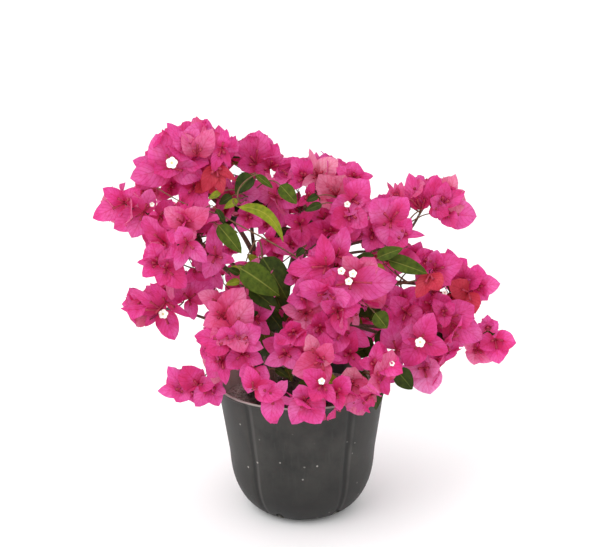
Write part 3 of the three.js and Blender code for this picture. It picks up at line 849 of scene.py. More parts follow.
BRACT_LENGTH = 0.042
BRACT_BREADTH = (0.38, 0.07)  # half of it, as a share of the length: the least, and how much more
BRACT_WIDEST = 0.41  # how far along it is widest
BRACT_POINT = 1.85  # how blunt its tip is
BRACT_OUT = 0.001  # how far from its blossom's heart it starts
BRACT_ROWS = 9
BRACT_COLUMNS = 6
BRACT_SIZES = (1, 0.9, 0.8, 0.7, 0.6, 0.5)  # tried in turn until the bract keeps in its mass's reach
LEAST_BLOSSOM = 1.6  # what a blossom's bracts add up to at least
BLOSSOM_TURNS = 4  # tried for the one with the largest bracts
BETTER_BY = 0.05  # how much larger they have to be than at an earlier turn
BLOSSOM_OPEN = (50, 24)  # degrees between its bracts and its axis: the least, and how much more
BRACT_LEAN = 0.25  # radians by which single bracts differ from that
BLOSSOMS_IN_SPRAY = (2, 3, 3)
BLOSSOM_SPREAD = (0.45, 0.4)  # radians between a blossom's way and its spray's
STALK = 0.013
STALK_SHARE = (0.8, 0.6)
LENGTH_SHARE = (0.88, 0.22)
SPRAY_KEEPS_TINT = 0.7  # the share of a spray's blossoms that have the spray's own tint
FRONT_HALF = 0.04  # y in front of which the sprays turn towards the side shown
FRONT_PULL = 0.7
REAR_HALF = 0.05


def blade_grid(rows, columns):
    """Places (along, across) and faces of a blade that comes to a point at both ends."""
    places = [(0.0, 0.0)]
    for row in range(1, rows):
        places += [(row / rows, 2 * column / columns - 1) for column in range(columns + 1)]
    places.append((1.0, 0.0))
    wide = columns + 1
    last = len(places) - 1
    faces = []
    for column in range(columns):
        faces.append((0, 2 + column, 1 + column))
        for row in range(rows - 2):
            a = 1 + row * wide + column
            faces.append((a, a + 1, a + wide + 1, a + wide))
        top = 1 + (rows - 2) * wide + column
        faces.append((top, top + 1, last))
    return np.array(places), faces


bract_places, bract_faces = blade_grid(BRACT_ROWS, BRACT_COLUMNS)


def blade_width(along, widest, point):
    """Half-width of a blade, rounded at its base and drawn to a point, as a share of its widest."""
    low = np.sqrt(np.clip(1 - ((widest - along) / widest) ** 2, 0, 1))
    past = np.clip((along - widest) / (1 - widest), 0, 1)
    high = (1 - past**point) ** 0.8
    return np.where(along < widest, low, high)


def bract_points(draw, breadth=0.0):
    """A bract of unit length, grown along +X with its inner face up: cupped, waved and a little twisted."""
    along, side = bract_places[:, 0], bract_places[:, 1]
    half = (breadth or drawn(draw, *BRACT_BREADTH)) * blade_width(along, BRACT_WIDEST, BRACT_POINT)
    cup = drawn(draw, 0.10, 0.16)
    curl = drawn(draw, -0.10, 0.45)
    wave = drawn(draw, 0.12, 0.16)
    turn = 2 * math.pi * next(draw)
    twist = 0.5 * (next(draw) - 0.5)
    y = side * half
    z = cup * half * (abs(side) ** 1.3) * (1 - 0.4 * along)
    z += wave * half * side**2 * np.sin(9 * along + turn + 1.4 * side)
    z += -curl * along**2.4
    z += 0.03 * abs(side) * np.sin(20 * (along - 0.35 * abs(side)) + turn)
    angle = twist * along
    y, z = y * np.cos(angle) - z * np.sin(angle), y * np.sin(angle) + z * np.cos(angle)
    return np.stack([along, y, z], 1)


def bract_frame(heart, axis, turn, bract, open_angle):
    """Base, and the ways along, across and up of a blossom's bract."""
    out = leaning(axis, math.pi / 2, turn + bract * 2 * math.pi / 3)
    out = (out - axis * out.dot(axis)).normalized()
    along = out * math.sin(open_angle) + axis * math.cos(open_angle)
    up = axis * math.sin(open_angle) - out * math.cos(open_angle)
    return heart + out * BRACT_OUT, along, up.cross(along), up


def placed(points, base, along, across, up):
    """Points moved from +X, +Y, +Z into a frame."""
    return np.array(base) + points @ np.array([along, across, up])


TINTS = {  # the tint, the deeper one at the base and on the veins, and the paler one of the blade's middle
    "magenta": ((0.81, 0.070, 0.365), (0.63, 0.016, 0.105), (0.88, 0.215, 0.57)),
    "hot_pink": ((0.84, 0.112, 0.46), (0.67, 0.027, 0.145), (0.88, 0.29, 0.62)),
    "rose": ((0.85, 0.165, 0.42), (0.69, 0.038, 0.135), (0.88, 0.36, 0.56)),
    "blush": ((0.86, 0.25, 0.58), (0.71, 0.065, 0.21), (0.89, 0.42, 0.70)),
    "pale": ((0.86, 0.29, 0.48), (0.71, 0.070, 0.18), (0.90, 0.54, 0.61)),
    "coral": ((0.66, 0.050, 0.105), (0.46, 0.012, 0.034), (0.76, 0.12, 0.15)),
}
TINT_SHARES = (("magenta", 0.42), ("hot_pink", 0.80), ("rose", 0.97), ("pale", 2))  # each up to this share
ODD_SPRAYS = [  # where all sprays within this reach have one tint
    ("coral", Vector((0.180, -0.02, 0.318)), 0.034),
    ("coral", Vector((0.215, -0.02, 0.330)), 0.026),
    ("pale", Vector((0.024, 0.0, 0.494)), 0.030),
    ("pale", Vector((0.064, -0.10, 0.236)), 0.022),
]


def spray_tint(tip, pick):
    for tint, place, reach in ODD_SPRAYS:
        if (tip - place).length < reach:
            return tint
    return next(tint for tint, share in TINT_SHARES if pick < share)


def blade_uv(places):
    """A blade's UV map: across it, and along it."""
    return np.stack([(places[:, 1] + 1) / 2, places[:, 0]], 1)


bract_uv = blade_uv(bract_places)


def fitted_blossom(mass, heart, facing, turn, length, draw):
    """A blossom's bracts, each as large as keeps in the crown, at the turn that gives them most room."""
    open_angle = math.radians(drawn(draw, *BLOSSOM_OPEN))
    leans = [open_angle + BRACT_LEAN * (next(draw) - 0.5) for _ in range(3)]
    shapes = [bract_points(draw) for _ in range(3)]
    best, best_sum = [], 0
    for step in range(BLOSSOM_TURNS):
        found = []
        for bract in range(3):
            spin = turn + step * 2 * math.pi / 3 / BLOSSOM_TURNS
            frame_of = bract_frame(heart, facing, spin, bract, leans[bract])
            for size in BRACT_SIZES:
                points = placed(shapes[bract] * length * size, *frame_of)
                if keeps_in(mass, points[1:], CELL_OVERLAP, TIP_REACH) and not in_sky(points):
                    found.append((points, frame_of, size))
                    break
        total = sum(size for points, frame_of, size in found)
        if total > best_sum + BETTER_BY:
            best, best_sum = found, total
    return best if best_sum >= LEAST_BLOSSOM else []


bracts = {tint: [] for tint in TINTS}
blossoms = []  # (heart, facing, [(base, along, across, up, length), ...])
sprays = []  # (root, tip, axis, its blossoms)


def open_blossom(mass, heart, facing, turn, length, tint, draw):
    """Adds a blossom's bracts to those of its tint. None if there is no room for it."""
    found = fitted_blossom(mass, heart, facing, turn, length, draw)
    if not found:
        return None
    for points, frame_of, size in found:
        bracts[tint].append((points, bract_faces, bract_uv, 0))
    blossom = (heart, facing, [(*frame_of, length * size) for points, frame_of, size in found])
    blossoms.append(blossom)
    return blossom


# The blossoms that show most, on the crown's near side. Each has its tint, and the column and row of its
# heart in the camera's view of 600 by 547, and in some its depth (y in millimetres). Then come its bracts:
# column and row of the tip, and width, in the same units.
SHOWN = [
    # the top left
    ("hot_pink", (172, 168), (158, 134, 38), (130, 178, 30), (203, 176, 26)),
    ("hot_pink", (156, 166), (132, 160, 16), (138, 190, 22)),
    ("hot_pink", (188, 146), (166, 123, 14), (176, 134, 20), (196, 132, 18)),
    ("rose", (197, 156), (198, 118, 22), (212, 132, 22), (184, 136, 18)),
    ("magenta", (221, 163), (219, 126, 22), (235, 138, 15), (206, 142, 18)),
    ("coral", (216, 166), (203, 190, 17), (222, 195, 14), (234, 178, 13)),
    ("magenta", (222, 148, -50), (213, 170, 13), (230, 166, 13), (226, 131, 12)),
    ("magenta", (194, 186), (181, 204, 20), (206, 204, 22), (188, 172, 20)),
    ("magenta", (171, 186, -24), (162, 198, 18), (181, 192, 18), (172, 174, 16)),
    ("magenta", (199, 180, -20), (196, 197, 16), (207, 168, 16), (190, 172, 14)),
    ("magenta", (202, 164, -14), (192, 161, 12), (208, 158, 14), (206, 174, 12)),
    ("coral", (207, 183, -38), (196, 191, 13), (214, 194, 12), (204, 175, 12)),
    # the left tip
    ("magenta", (125, 203), (93, 218, 22), (103, 188, 16), (138, 190, 18)),
    ("hot_pink", (144, 212), (113, 229, 24), (133, 236, 24), (152, 188, 26)),
    ("magenta", (160, 216), (146, 244, 26), (174, 238, 24), (170, 202, 18)),
    ("rose", (184, 224), (164, 208, 22), (206, 212, 24), (188, 246, 22)),
    # the middle left
    ("hot_pink", (187, 242), (176, 270, 22), (206, 262, 24), (178, 226, 20)),
    ("magenta", (158, 263), (142, 277, 16), (139, 262, 10), (152, 242, 28)),
    ("magenta", (166, 268), (184, 286, 24), (172, 250, 20), (160, 284, 18)),
    ("hot_pink", (209, 270), (222, 288, 20), (228, 246, 28), (196, 258, 18)),
    ("hot_pink", (216, 256), (212, 228, 24), (236, 262, 16), (206, 276, 20)),
    ("magenta", (196, 268, -56), (188, 282, 16), (207, 280, 16), (197, 256, 14)),
    ("magenta", (231, 249, -64), (239, 253, 10), (226, 258, 12), (226, 242, 12)),
    # the left arm
    ("magenta", (162, 310), (119, 310, 11), (132, 289, 12), (175, 340, 23)),
    ("magenta", (166, 302), (154, 286, 12), (143, 327, 12), (188, 316, 12)),
    ("hot_pink", (189, 299), (174, 282, 22), (210, 282, 26), (194, 319, 14)),
    ("rose", (222, 316), (244, 288, 28), (207, 300, 16), (206, 324, 18)),
    # the left front
    ("rose", (232, 328), (252, 300, 28), (212, 340, 26), (244, 352, 26)),
    ("hot_pink", (240, 342), (262, 326, 24), (264, 348, 22), (238, 322, 22)),
    ("hot_pink", (254, 318), (272, 308, 22), (248, 300, 18), (268, 334, 20)),
    ("magenta", (228, 340), (194, 336, 22), (206, 352, 22), (222, 326, 20)),
    ("magenta", (222, 360), (204, 364, 20), (226, 384, 18), (210, 344, 20)),
    ("hot_pink", (243, 354), (226, 368, 24), (262, 362, 24), (244, 336, 24)),
    ("hot_pink", (254, 368), (248, 393, 25), (268, 384, 20), (240, 376, 18)),
    # the low left cluster
    ("magenta", (198, 385), (183, 366, 27), (167, 379, 18), (214, 382, 16)),
    ("hot_pink", (184, 388), (161, 392, 17), (176, 402, 20), (170, 372, 18)),
    ("hot_pink", (210, 386), (196, 405, 20), (219, 407, 18), (227, 394, 18)),
    # the low front
    ("hot_pink", (274, 395), (270, 424, 34), (259, 387, 16), (286, 383, 20)),
    ("hot_pink", (305, 400), (293, 423, 24), (321, 424, 28), (299, 384, 20)),
    ("magenta", (322, 384), (306, 372, 22), (334, 402, 20), (312, 400, 20)),
    ("rose", (322, 360), (296, 374, 30), (326, 386, 24), (330, 346, 20)),
    ("pale", (314, 356), (308, 333, 17), (302, 368, 20), (330, 362, 18)),
    ("hot_pink", (286, 354), (267, 364, 17), (276, 334, 24), (302, 364, 22)),
    ("magenta", (294, 332), (277, 342, 20), (290, 320, 18), (304, 344, 20)),
    ("rose", (352, 384), (366, 418, 30), (346, 404, 20), (372, 392, 22)),
    ("magenta", (337, 392), (340, 410, 20), (324, 392, 16), (350, 376, 20)),
    ("magenta", (350, 354), (333, 360, 22), (362, 370, 18), (352, 336, 18)),
    # the middle of the front
    ("rose", (306, 313), (284, 308, 24), (306, 334, 26), (326, 304, 24)),
    ("hot_pink", (306, 299), (307, 275, 28), (290, 300, 20), (324, 294, 20)),
    ("magenta", (337, 311), (360, 306, 26), (322, 300, 24), (342, 334, 24)),
    ("hot_pink", (343, 330), (324, 322, 22), (330, 354, 24), (371, 346, 26)),
    ("magenta", (320, 328), (330, 346, 20), (308, 340, 20), (322, 312, 18)),
    ("hot_pink", (352, 282), (398, 284, 34), (316, 290, 36), (344, 306, 30)),
    ("rose", (362, 276), (382, 310, 32), (374, 258, 24), (346, 262, 24)),
    ("hot_pink", (337, 256), (311, 250, 26), (346, 230, 28), (354, 262, 22)),
    ("magenta", (326, 266), (287, 270, 22), (318, 292, 26), (324, 240, 20)),
    # the heart of the bush
    ("magenta", (303, 232), (284, 246, 22), (318, 246, 22), (296, 212, 20)),
    ("hot_pink", (276, 196), (281, 229, 22), (299, 206, 18), (251, 184, 24)),
    ("magenta", (330, 232), (310, 226, 20), (352, 236, 20), (334, 214, 22)),
    ("magenta", (248, 216), (240, 232, 18), (262, 224, 18), (244, 200, 18)),
    ("magenta", (268, 240), (259, 254, 18), (290, 254, 20), (272, 228, 14)),
    ("magenta", (300, 224, -34), (302, 246, 22), (283, 216, 20), (312, 210, 18)),
    ("magenta", (308, 196, -30), (319, 210, 14), (298, 206, 12), (314, 182, 14)),
    ("magenta", (291, 244, -38), (300, 258, 16), (278, 240, 16), (298, 232, 14)),
    ("magenta", (267, 224, -50), (259, 233, 14), (275, 236, 14), (264, 213, 12)),
    ("magenta", (277, 253, -56), (265, 250, 14), (288, 249, 12), (278, 264, 15)),
    ("magenta", (289, 319, -78), (281, 312, 11), (297, 313, 12), (288, 331, 13)),
    # the top
    ("magenta", (256, 164), (259, 130, 28), (240, 140, 20), (236, 166, 20)),
    ("magenta", (270, 168), (276, 145, 16), (292, 160, 18), (252, 174, 20)),
    ("magenta", (304, 178), (294, 158, 16), (288, 188, 18), (310, 159, 14)),
    ("pale", (317, 176), (311, 152, 9), (337, 160, 24), (304, 184, 16)),
    ("pale", (336, 196), (320, 177, 26), (345, 176, 26), (322, 206, 22)),
    ("hot_pink", (352, 200), (367, 182, 28), (332, 212, 22), (370, 210, 20)),
    ("magenta", (353, 178), (358, 162, 18), (373, 176, 11), (341, 170, 18)),
    ("magenta", (350, 214), (368, 226, 22), (330, 224, 24), (346, 236, 20)),
    # the right shoulder
    ("hot_pink", (391, 221), (372, 199, 32), (408, 197, 32), (388, 244, 30)),
    ("hot_pink", (374, 232), (367, 252, 19), (362, 222, 16), (384, 248, 18)),
    ("magenta", (400, 234), (422, 234, 9), (396, 250, 20), (410, 220, 16)),
    # the top right
    ("magenta", (421, 210), (408, 175, 28), (432, 176, 22), (396, 184, 10)),
    ("magenta", (431, 206), (437, 175, 20), (456, 188, 22), (446, 214, 18)),
    ("rose", (398, 199), (386, 181, 5), (395, 182, 6), (401, 184, 10)),
    ("pale", (449, 194), (455, 175, 13), (462, 191, 8), (445, 181, 8)),
    ("magenta", (442, 204), (463, 193, 16), (446, 182, 16), (432, 200, 16)),
    ("hot_pink", (446, 213), (478, 217, 30), (432, 214, 14), (454, 226, 18)),
    # the right arm
    ("coral", (430, 274), (418, 296, 24), (440, 291, 20)),
    ("magenta", (403, 298, -60), (392, 288, 14), (413, 289, 12), (402, 308, 14)),
    ("magenta", (428, 264), (420, 246, 20), (438, 252, 14), (412, 262, 18)),
    ("hot_pink", (434, 270), (438, 248, 18), (460, 262, 28), (450, 284, 20)),
    ("coral", (468, 292), (449, 284, 22), (474, 312, 20)),
    ("magenta", (466, 284), (462, 266, 20), (480, 276, 18), (450, 276, 14)),
    ("magenta", (432, 291, -44), (423, 285, 13), (440, 285, 11), (432, 303, 15)),
    ("magenta", (476, 287), (498, 283, 22), (478, 264, 22), (486, 298, 18)),
    ("magenta", (454, 272), (466, 260, 18), (448, 253, 18), (472, 276, 18)),
    ("magenta", (414, 256), (419, 245, 14), (402, 252, 16), (428, 252, 14)),
    # the low right
    ("magenta", (431, 304), (410, 298, 20), (452, 300, 24), (434, 328, 24)),
    ("magenta", (406, 312), (392, 298, 20), (422, 324, 24), (398, 334, 20)),
    ("magenta", (421, 340), (448, 352, 30), (404, 366, 28), (430, 318, 28)),
    ("hot_pink", (448, 320), (474, 306, 30), (484, 340, 28), (464, 350, 24)),
    ("hot_pink", (396, 350), (389, 321, 26), (390, 376, 20), (410, 352, 22)),
    ("blush", (424, 368), (430, 394, 32), (441, 367, 20), (406, 370, 18)),
    ("magenta", (374, 364), (388, 395, 18), (360, 362, 20), (378, 346, 20)),
    ("magenta", (444, 312, -66), (436, 304, 14), (454, 304, 14), (445, 326, 14)),
    ("magenta", (408, 310, -56), (399, 302, 14), (418, 304, 14), (407, 324, 14)),
    # the right tip
    ("magenta", (495, 339), (516, 343, 21), (499, 364, 24), (482, 347, 20)),
    ("hot_pink", (488, 330), (478, 323, 12), (498, 321, 14), (487, 317, 13)),
    ("rose", (476, 348), (474, 365, 20), (467, 345, 12), (490, 361, 20)),
    ("magenta", (482, 341, -18), (474, 334, 13), (474, 350, 13), (493, 346, 14)),
]
SHOWN_SEED = 7700417
SHOWN_LENGTH = 0.040  # of a bract that is seen foreshortened
SHOWN_REACH = 0.66  # how far out in its mass's oval a shown blossom's heart stands
OLD_REACH = 0.9  # that of the old, orange-red ones
LEAST_FORWARD = 0.004  # how far before its heart a shown bract's tip stands
MOST_FORWARD = 0.018
SLIMMER = (1, 0.85, 0.7)  # widths tried in turn for a shown bract that would hide a gap
EDGE_RANK = 0.45  # what a place past a mass's reach costs it, in metres of depth
FRONT_RANK = 2  # what a twig's root costs for each metre that it lies in front of the tip
VIEW_COLUMNS, VIEW_ROWS = 600, 547
view_turn = camera.rotation_euler.to_matrix()
view_reach = VIEW_COLUMNS * camera.data.lens / camera.data.sensor_width


def view_ray(column, row):
    """The way from the camera through a place of its view."""
    way = Vector((column - VIEW_COLUMNS / 2, VIEW_ROWS / 2 - row, -view_reach))
    return (view_turn @ way).normalized()


def on_ray(column, row, depth):
    """The place that the camera sees there, at this y."""
    way = view_ray(column, row)
    return CAMERA_PLACE + way * ((depth - CAMERA_PLACE.y) / way.y)


def first_mass(column, row, reach):
    """The mass that the camera sees there first, and the near place at this reach of its oval."""
    way = view_ray(column, row)
    best = None
    for mass in masses:
        eye = Vector(a / b for a, b in zip(CAMERA_PLACE - mass.centre, mass.half))
        step = Vector(a / b for a, b in zip(way, mass.half))
        middle = -eye.dot(step) / step.dot(step)
        off = (eye + step * middle).length
        inside = reach * reach - off * off
        far = middle - (math.sqrt(inside) / step.length if inside > 0 else 0)
        rank = far + max(0.0, off - reach) * EDGE_RANK
        if best is None or rank < best[0]:
            best = (rank, mass, CAMERA_PLACE + way * far)
    return best[1], best[2]


shown_draw = numbers(SHOWN_SEED)
shown_hearts = []  # and the middles of the leaves that show most
carriers = [mass.stem.point(step / 10) for mass in masses for step in range(1, 11)]
carriers += [limb.point(step / 10) for limb in limbs.values() for step in range(3, 11)]


def carrier_of(place):
    """The place of a stem or cane from which a twig grows to here: the nearest, but rather one behind it."""
    return min(carriers, key=lambda root: (root - place).length + FRONT_RANK * max(0.0, place.y - root.y))


for tint, (column, row, *depth), *tips in SHOWN:
    mass, heart = first_mass(column, row, OLD_REACH if tint == "coral" else SHOWN_REACH)
    if depth:
        heart = on_ray(column, row, depth[0] * MM)
    shown_hearts.append(heart)
    facing = -view_ray(column, row)
    scale = (heart - CAMERA_PLACE).length / view_reach
    petals = []
    for tip_column, tip_row, wide in tips:
        flat = scale * math.hypot(tip_column - column, tip_row - row)
        forward = math.sqrt(max(0.0, SHOWN_LENGTH**2 - flat**2))
        tip = on_ray(tip_column, tip_row, heart.y - min(MOST_FORWARD, max(LEAST_FORWARD, forward)))
        along = (tip - heart).normalized()
        up = (facing - along * facing.dot(along)).normalized()
        length = (tip - heart).length
        for slim in SLIMMER:
            points = bract_points(shown_draw, 0.5 * slim * wide * scale / length) * length
            points = placed(points, heart, along, up.cross(along), up)
            if not in_gap(points, *on_sky_plane(points)):
                break
        bracts[tint].append((points, bract_faces, bract_uv, 0))
        petals.append((heart, along, up.cross(along), up, length))
    blossoms.append((heart, facing, petals))
    fork = heart - facing * STALK
    sprays.append((carrier_of(fork), fork, facing, [blossoms[-1]]))

# The leaves that show most: green, then the base and the tip, each by column, row and depth (its y in
# millimetres), the width, and how far it is bowed sideways as a share of its length.
SHOWN_LEAVES = [
    ("mid", (240, 268, -112), (281, 292, -122), 29),
    ("deep", (262, 257, -100), (290, 301, -104), 30),
    ("deep", (249, 288, -104), (280, 309, -116), 19),
    ("deep", (246, 296, -100), (263, 317, -108), 19),
    ("young", (229, 271, -96), (242, 266, -100), 7),
    ("mid", (218, 225, -92), (242, 252, -104), 18),
    ("young", (238, 207, -84), (284, 240, -100), 13, 0.20),
    ("deep", (252, 175, -60), (235, 193, -70), 18),
    ("mid", (256, 175, -60), (273, 187, -66), 8),
    ("mid", (280, 185, -62), (297, 203, -70), 16),
    ("young", (238, 200, -66), (224, 208, -72), 8),
    ("young", (221, 192, -66), (208, 198, -70), 7),
    ("deep", (216, 209, -80), (226, 225, -86), 8),
    ("deep", (322, 204, -60), (305, 210, -66), 9),
    ("deep", (318, 196, -56), (307, 200, -62), 8),
    ("mid", (377, 258, -92), (401, 247, -100), 14),
    ("mid", (388, 260, -88), (428, 272, -100), 18),
    ("deep", (374, 255, -92), (350, 262, -98), 10),
    ("young", (377, 264, -94), (386, 272, -96), 6),
    ("deep", (396, 370, -120), (414, 389, -128), 20),
    ("deep", (275, 369, -140), (289, 377, -146), 8),
    ("mid", (375, 313, -120), (388, 328, -126), 18),
    ("deep", (232, 196, -60), (219, 203, -66), 10),
    ("deep", (240, 274, -100), (228, 268, -106), 8),
    ("young", (240, 281, -100), (226, 284, -106), 8),
    ("deep", (304, 248, -70), (296, 256, -76), 8),
    ("deep", (276, 296, -84), (286, 322, -92), 22),
    ("deep", (268, 312, -60), (288, 334, -50), 22),
    ("mid", (262, 330, -92), (271, 352, -98), 14),
    ("deep", (272, 336, -40), (254, 358, -34), 20),
    ("deep", (372, 338, -60), (354, 358, -56), 22),
    ("deep", (352, 352, -60), (376, 346, -50), 18),
    ("deep", (378, 304, -50), (368, 322, -46), 15),
    ("deep", (386, 330, -50), (376, 350, -46), 15),
    ("mid", (286, 366, -132), (292, 382, -138), 7),
]
LEAF_CLEAR = 0.022  # how much further behind a shown leaf other blossoms stay
for green, base, tip, *shape in SHOWN_LEAVES:
    column, row, depth = [(a + b) / 2 for a, b in zip(base, tip)]
    shown_hearts.append(on_ray(column, row, depth * MM + LEAF_CLEAR))

hearts_x, hearts_z = on_sky_plane(shown_hearts)
hearts_y = np.array([heart.y for heart in shown_hearts])
SHOWN_CLEAR = 0.026  # how far round a shown heart other blossoms stay behind it
SHOWN_BEHIND = 0.010


def hides_shown(heart):
    """True if a blossom there would stand before one of those that show most."""
    x, z = on_sky_plane(heart)
    near = np.hypot(hearts_x - x, hearts_z - z)[:, 0] < SHOWN_CLEAR
    return bool((near & (heart.y < hearts_y + SHOWN_BEHIND)).any())


for mass in masses:
    draw = numbers(mass.seed * 307)
    tips = []
    most = SPRAYS_AMONG_LEAVES if mass.leafy else SPRAYS_BEHIND if mass.centre.y > REAR_HALF else SPRAYS
    pull = SIDE_SHOWN * (FRONT_PULL if mass.centre.y < FRONT_HALF else 0)
    for root, tip, axis, turn in spray_places(mass):
        if len(tips) >= most or any((tip - other).length < SPRAY_SPACING for other in tips):
            continue
        if hides_shown(tip) or (mass.leafy and tip.y < mass.centre.y):
            continue
        axis = (axis + pull).normalized()
        count = BLOSSOMS_IN_SPRAY[int(3 * next(draw))]
        tint = spray_tint(tip, next(draw))
        opened = []
        for i in range(count):
            spread = drawn(draw, *BLOSSOM_SPREAD)
            bearing = turn + i * 2 * math.pi / count + BEARING_PLAY * next(draw)
            way = leaning(axis, spread, bearing)
            heart = tip + way * STALK * drawn(draw, *STALK_SHARE)
            own_tint = tint if next(draw) < SPRAY_KEEPS_TINT else spray_tint(tip, next(draw))
            length = BRACT_LENGTH * drawn(draw, *LENGTH_SHARE)
            spin = 2 * math.pi * next(draw)
            if not hides_shown(heart):
                opened.append(open_blossom(mass, heart, way, spin, length, own_tint, draw))
        opened = [blossom for blossom in opened if blossom]
        if opened:
            tips.append(tip)
            sprays.append((root, tip, axis, opened))


def let_through(finish, colour, share):
    """A blade so thin that a share of the light comes through it, in its own colour."""
    finish.coloured(colour)
    through = finish.nodes.new("ShaderNodeBsdfTranslucent")
    finish.link(colour, through.inputs["Color"])
    mix = finish.nodes.new("ShaderNodeMixShader")
    surface = finish.nodes["Material Output"].inputs["Surface"]
    finish.feed(mix.inputs, (share, finish.shader.outputs["BSDF"], through.outputs["BSDF"]))
    finish.link(mix.outputs["Shader"], surface)


def off_midrib(finish, across):
    """How far off a blade's midrib, from 0 to a half."""
    return finish.reckoned("ABSOLUTE", finish.reckoned("SUBTRACT", across, 0.5))


def bract_finish(name, tint, deep, light):
    """Papery bract: its tint, deeper towards the base and along its veins."""
    paper = Finish(name, 0.55, shine=0.3)
    across, along, _ = paper.parts(paper.own())
    side = off_midrib(paper, across)
    slanted = paper.reckoned("SUBTRACT", along, paper.reckoned("MULTIPLY", side, 0.7))
    side_veins = paper.ramp(paper.reckoned("PINGPONG", slanted, 0.07), (0.0, 1.0), (0.018, 0.0))
    midrib = paper.ramp(side, (0.0, 1.0), (0.035, 0.0))
    veins = paper.blended(1.0, side_veins, midrib, "LIGHTEN")
    mottle = paper.noise(paper.place(), 210, 4, 0.6)
    clouds = paper.noise(paper.place(), 38, 3, 0.5)
    colour = paper.ramp(clouds, (0.36, deep), (0.64, light), (0.48, tint))
    colour = paper.blended(0.45, tint, colour)
    colour = paper.blended(paper.ramp(mottle, (0.35, 0.0), (0.75, 0.35)), colour, deep)
    colour = paper.blended(paper.reckoned("MULTIPLY", veins, 0.5), colour, deep)
    streaks = paper.noise(paper.stretched(paper.own(), (11, 1.6, 1)), 1.6, 4, 0.6)
    streaks = paper.ramp(streaks, (0.46, 0.0), (0.72, 0.5))
    streaks = paper.blended(1.0, streaks, paper.ramp(mottle, (0.3, 0.2), (0.6, 1.0)), "MULTIPLY")
    colour = paper.blended(streaks, colour, deep)
    colour = paper.blended(paper.ramp(along, (0.0, 1.0), (0.46, 0.0)), colour, deep)
    paper.roughened(paper.blended(0.5, veins, mottle), 0.0012, 0.6)
    let_through(paper, colour, 0.48)
    return paper.material


for tint, patches in bracts.items():
    finish = bract_finish(f"{tint} bract", *TINTS[tint])
    joined(f"bracts_{tint}", patches, [finish], mass_nodes)

# ------------------------------------------------------------------------------
# The blossoms' tubes and stars
#
# On each bract's midrib stands the true flower, a slender crimson tube. A few have opened into a small
# white five-pointed star with a yellowish throat.
# ------------------------------------------------------------------------------

TUBE_LENGTH = 0.42  # of its bract's length
TUBE_SHARE = (0.85, 0.3)
TUBE_RADIUS = 0.0015
TUBE_LEAN = 0.30  # how much it leans away from its bract
TUBE_OFF = 0.0006  # how far off the bract it starts
TUBE_BOW = 0.0008
STAR_CHANCE = 0.04  # on the crown's rear half
STAR_RADIUS = 0.0046
STAR_PROUD = 0.001  # how far it stands before its tube's end

# The stars that show most: column, row, and radius in metres.
SHOWN_STARS = [
    (172, 163, 0.0076), (163, 314, 0.0064), (152, 204, 0.0032), (347, 204, 0.0042),
    (367, 218, 0.0042), (341, 271, 0.0048), (353, 274, 0.0050), (349, 281, 0.0048),
    (420, 342, 0.0066), (322, 381, 0.0042), (445, 293, 0.0034), (392, 364, 0.0034),
]
STAR_FORWARD = 0.018  # how far a shown star stands before its blossom's heart
STAR_NEAR = 0.020  # how near its line of sight that heart is
STAR_STEPS = 30
STAR_SEED = 9021041
STAR_TURNED = 0.2  # radians off the line of sight
STAR_DISH = 0.0014  # how far the tips of its lobes stand before its throat's edge
THROAT_SUNK = 0.0008
THROAT_SHARE = 0.24  # of the star's radius

tubes, stars = [], []
draw = numbers(STAR_SEED)
star_angles = np.arange(STAR_STEPS) * 2 * math.pi / STAR_STEPS
throat_faces, lobe_faces = [], []
for i in range(STAR_STEPS):
    j = (i + 1) % STAR_STEPS
    throat_faces.append((0, 1 + i, 1 + j))
    lobe_faces.append((1 + i, 1 + STAR_STEPS + i, 1 + STAR_STEPS + j, 1 + j))


def tube_thickness(share):
    """A flower's tube is pinched above its foot and widens at its mouth."""
    return TUBE_RADIUS * (0.75 + 0.5 * abs(share - 0.45) + (0.35 if share > 0.9 else 0))


def flower_tube(root, middle, mouth):
    tubes.append(tube(Limb(root, middle, mouth, tube_thickness), sides=5, ring_gap=0.006))


def open_star(mouth, way, across, radius):
    """A flat star of five blunt lobes round a small sunk throat, at the mouth of a tube."""
    spread = radius * (0.80 + 0.20 * abs(np.cos(2.5 * star_angles)))
    cosines, sines = np.cos(star_angles), np.sin(star_angles)
    rim = np.stack([np.full(STAR_STEPS, STAR_DISH), spread * cosines, spread * sines], 1)
    throat = THROAT_SHARE * radius
    throat = np.stack([np.zeros(STAR_STEPS), throat * cosines, throat * sines], 1)
    points = np.concatenate([[[-THROAT_SUNK, 0, 0]], throat, rim]) + [STAR_PROUD, 0, 0]
    points = placed(points, mouth, way, across, way.cross(across))
    stars.append((points, throat_faces, points[:, :2], 1))
    stars.append((points, lobe_faces, points[:, :2], 0))


for base, along, across, up, length in [petal for blossom in blossoms for petal in blossom[2]]:
    lean = (along + up * TUBE_LEAN).normalized()
    root = base + up * TUBE_OFF
    mouth = root + lean * (TUBE_LENGTH * length * drawn(draw, *TUBE_SHARE))
    flower_tube(root, root.lerp(mouth, 0.5) + up * TUBE_BOW, mouth)
    if next(draw) < STAR_CHANCE and base.y > REAR_HALF:
        open_star(mouth, lean, across, STAR_RADIUS)

for column, row, radius in SHOWN_STARS:
    facing = -view_ray(column, row)
    hearts = [heart for heart, _, _ in blossoms if (heart - CAMERA_PLACE).cross(facing).length < STAR_NEAR]
    heart = min(hearts, key=lambda heart: heart.y)
    mouth = on_ray(column, row, heart.y - STAR_FORWARD)
    flower_tube(heart, heart.lerp(mouth, 0.5), mouth)
    tipped = leaning(facing, STAR_TURNED, ANY_TURN * next(draw))
    open_star(mouth, tipped, facing.orthogonal().normalized(), radius)

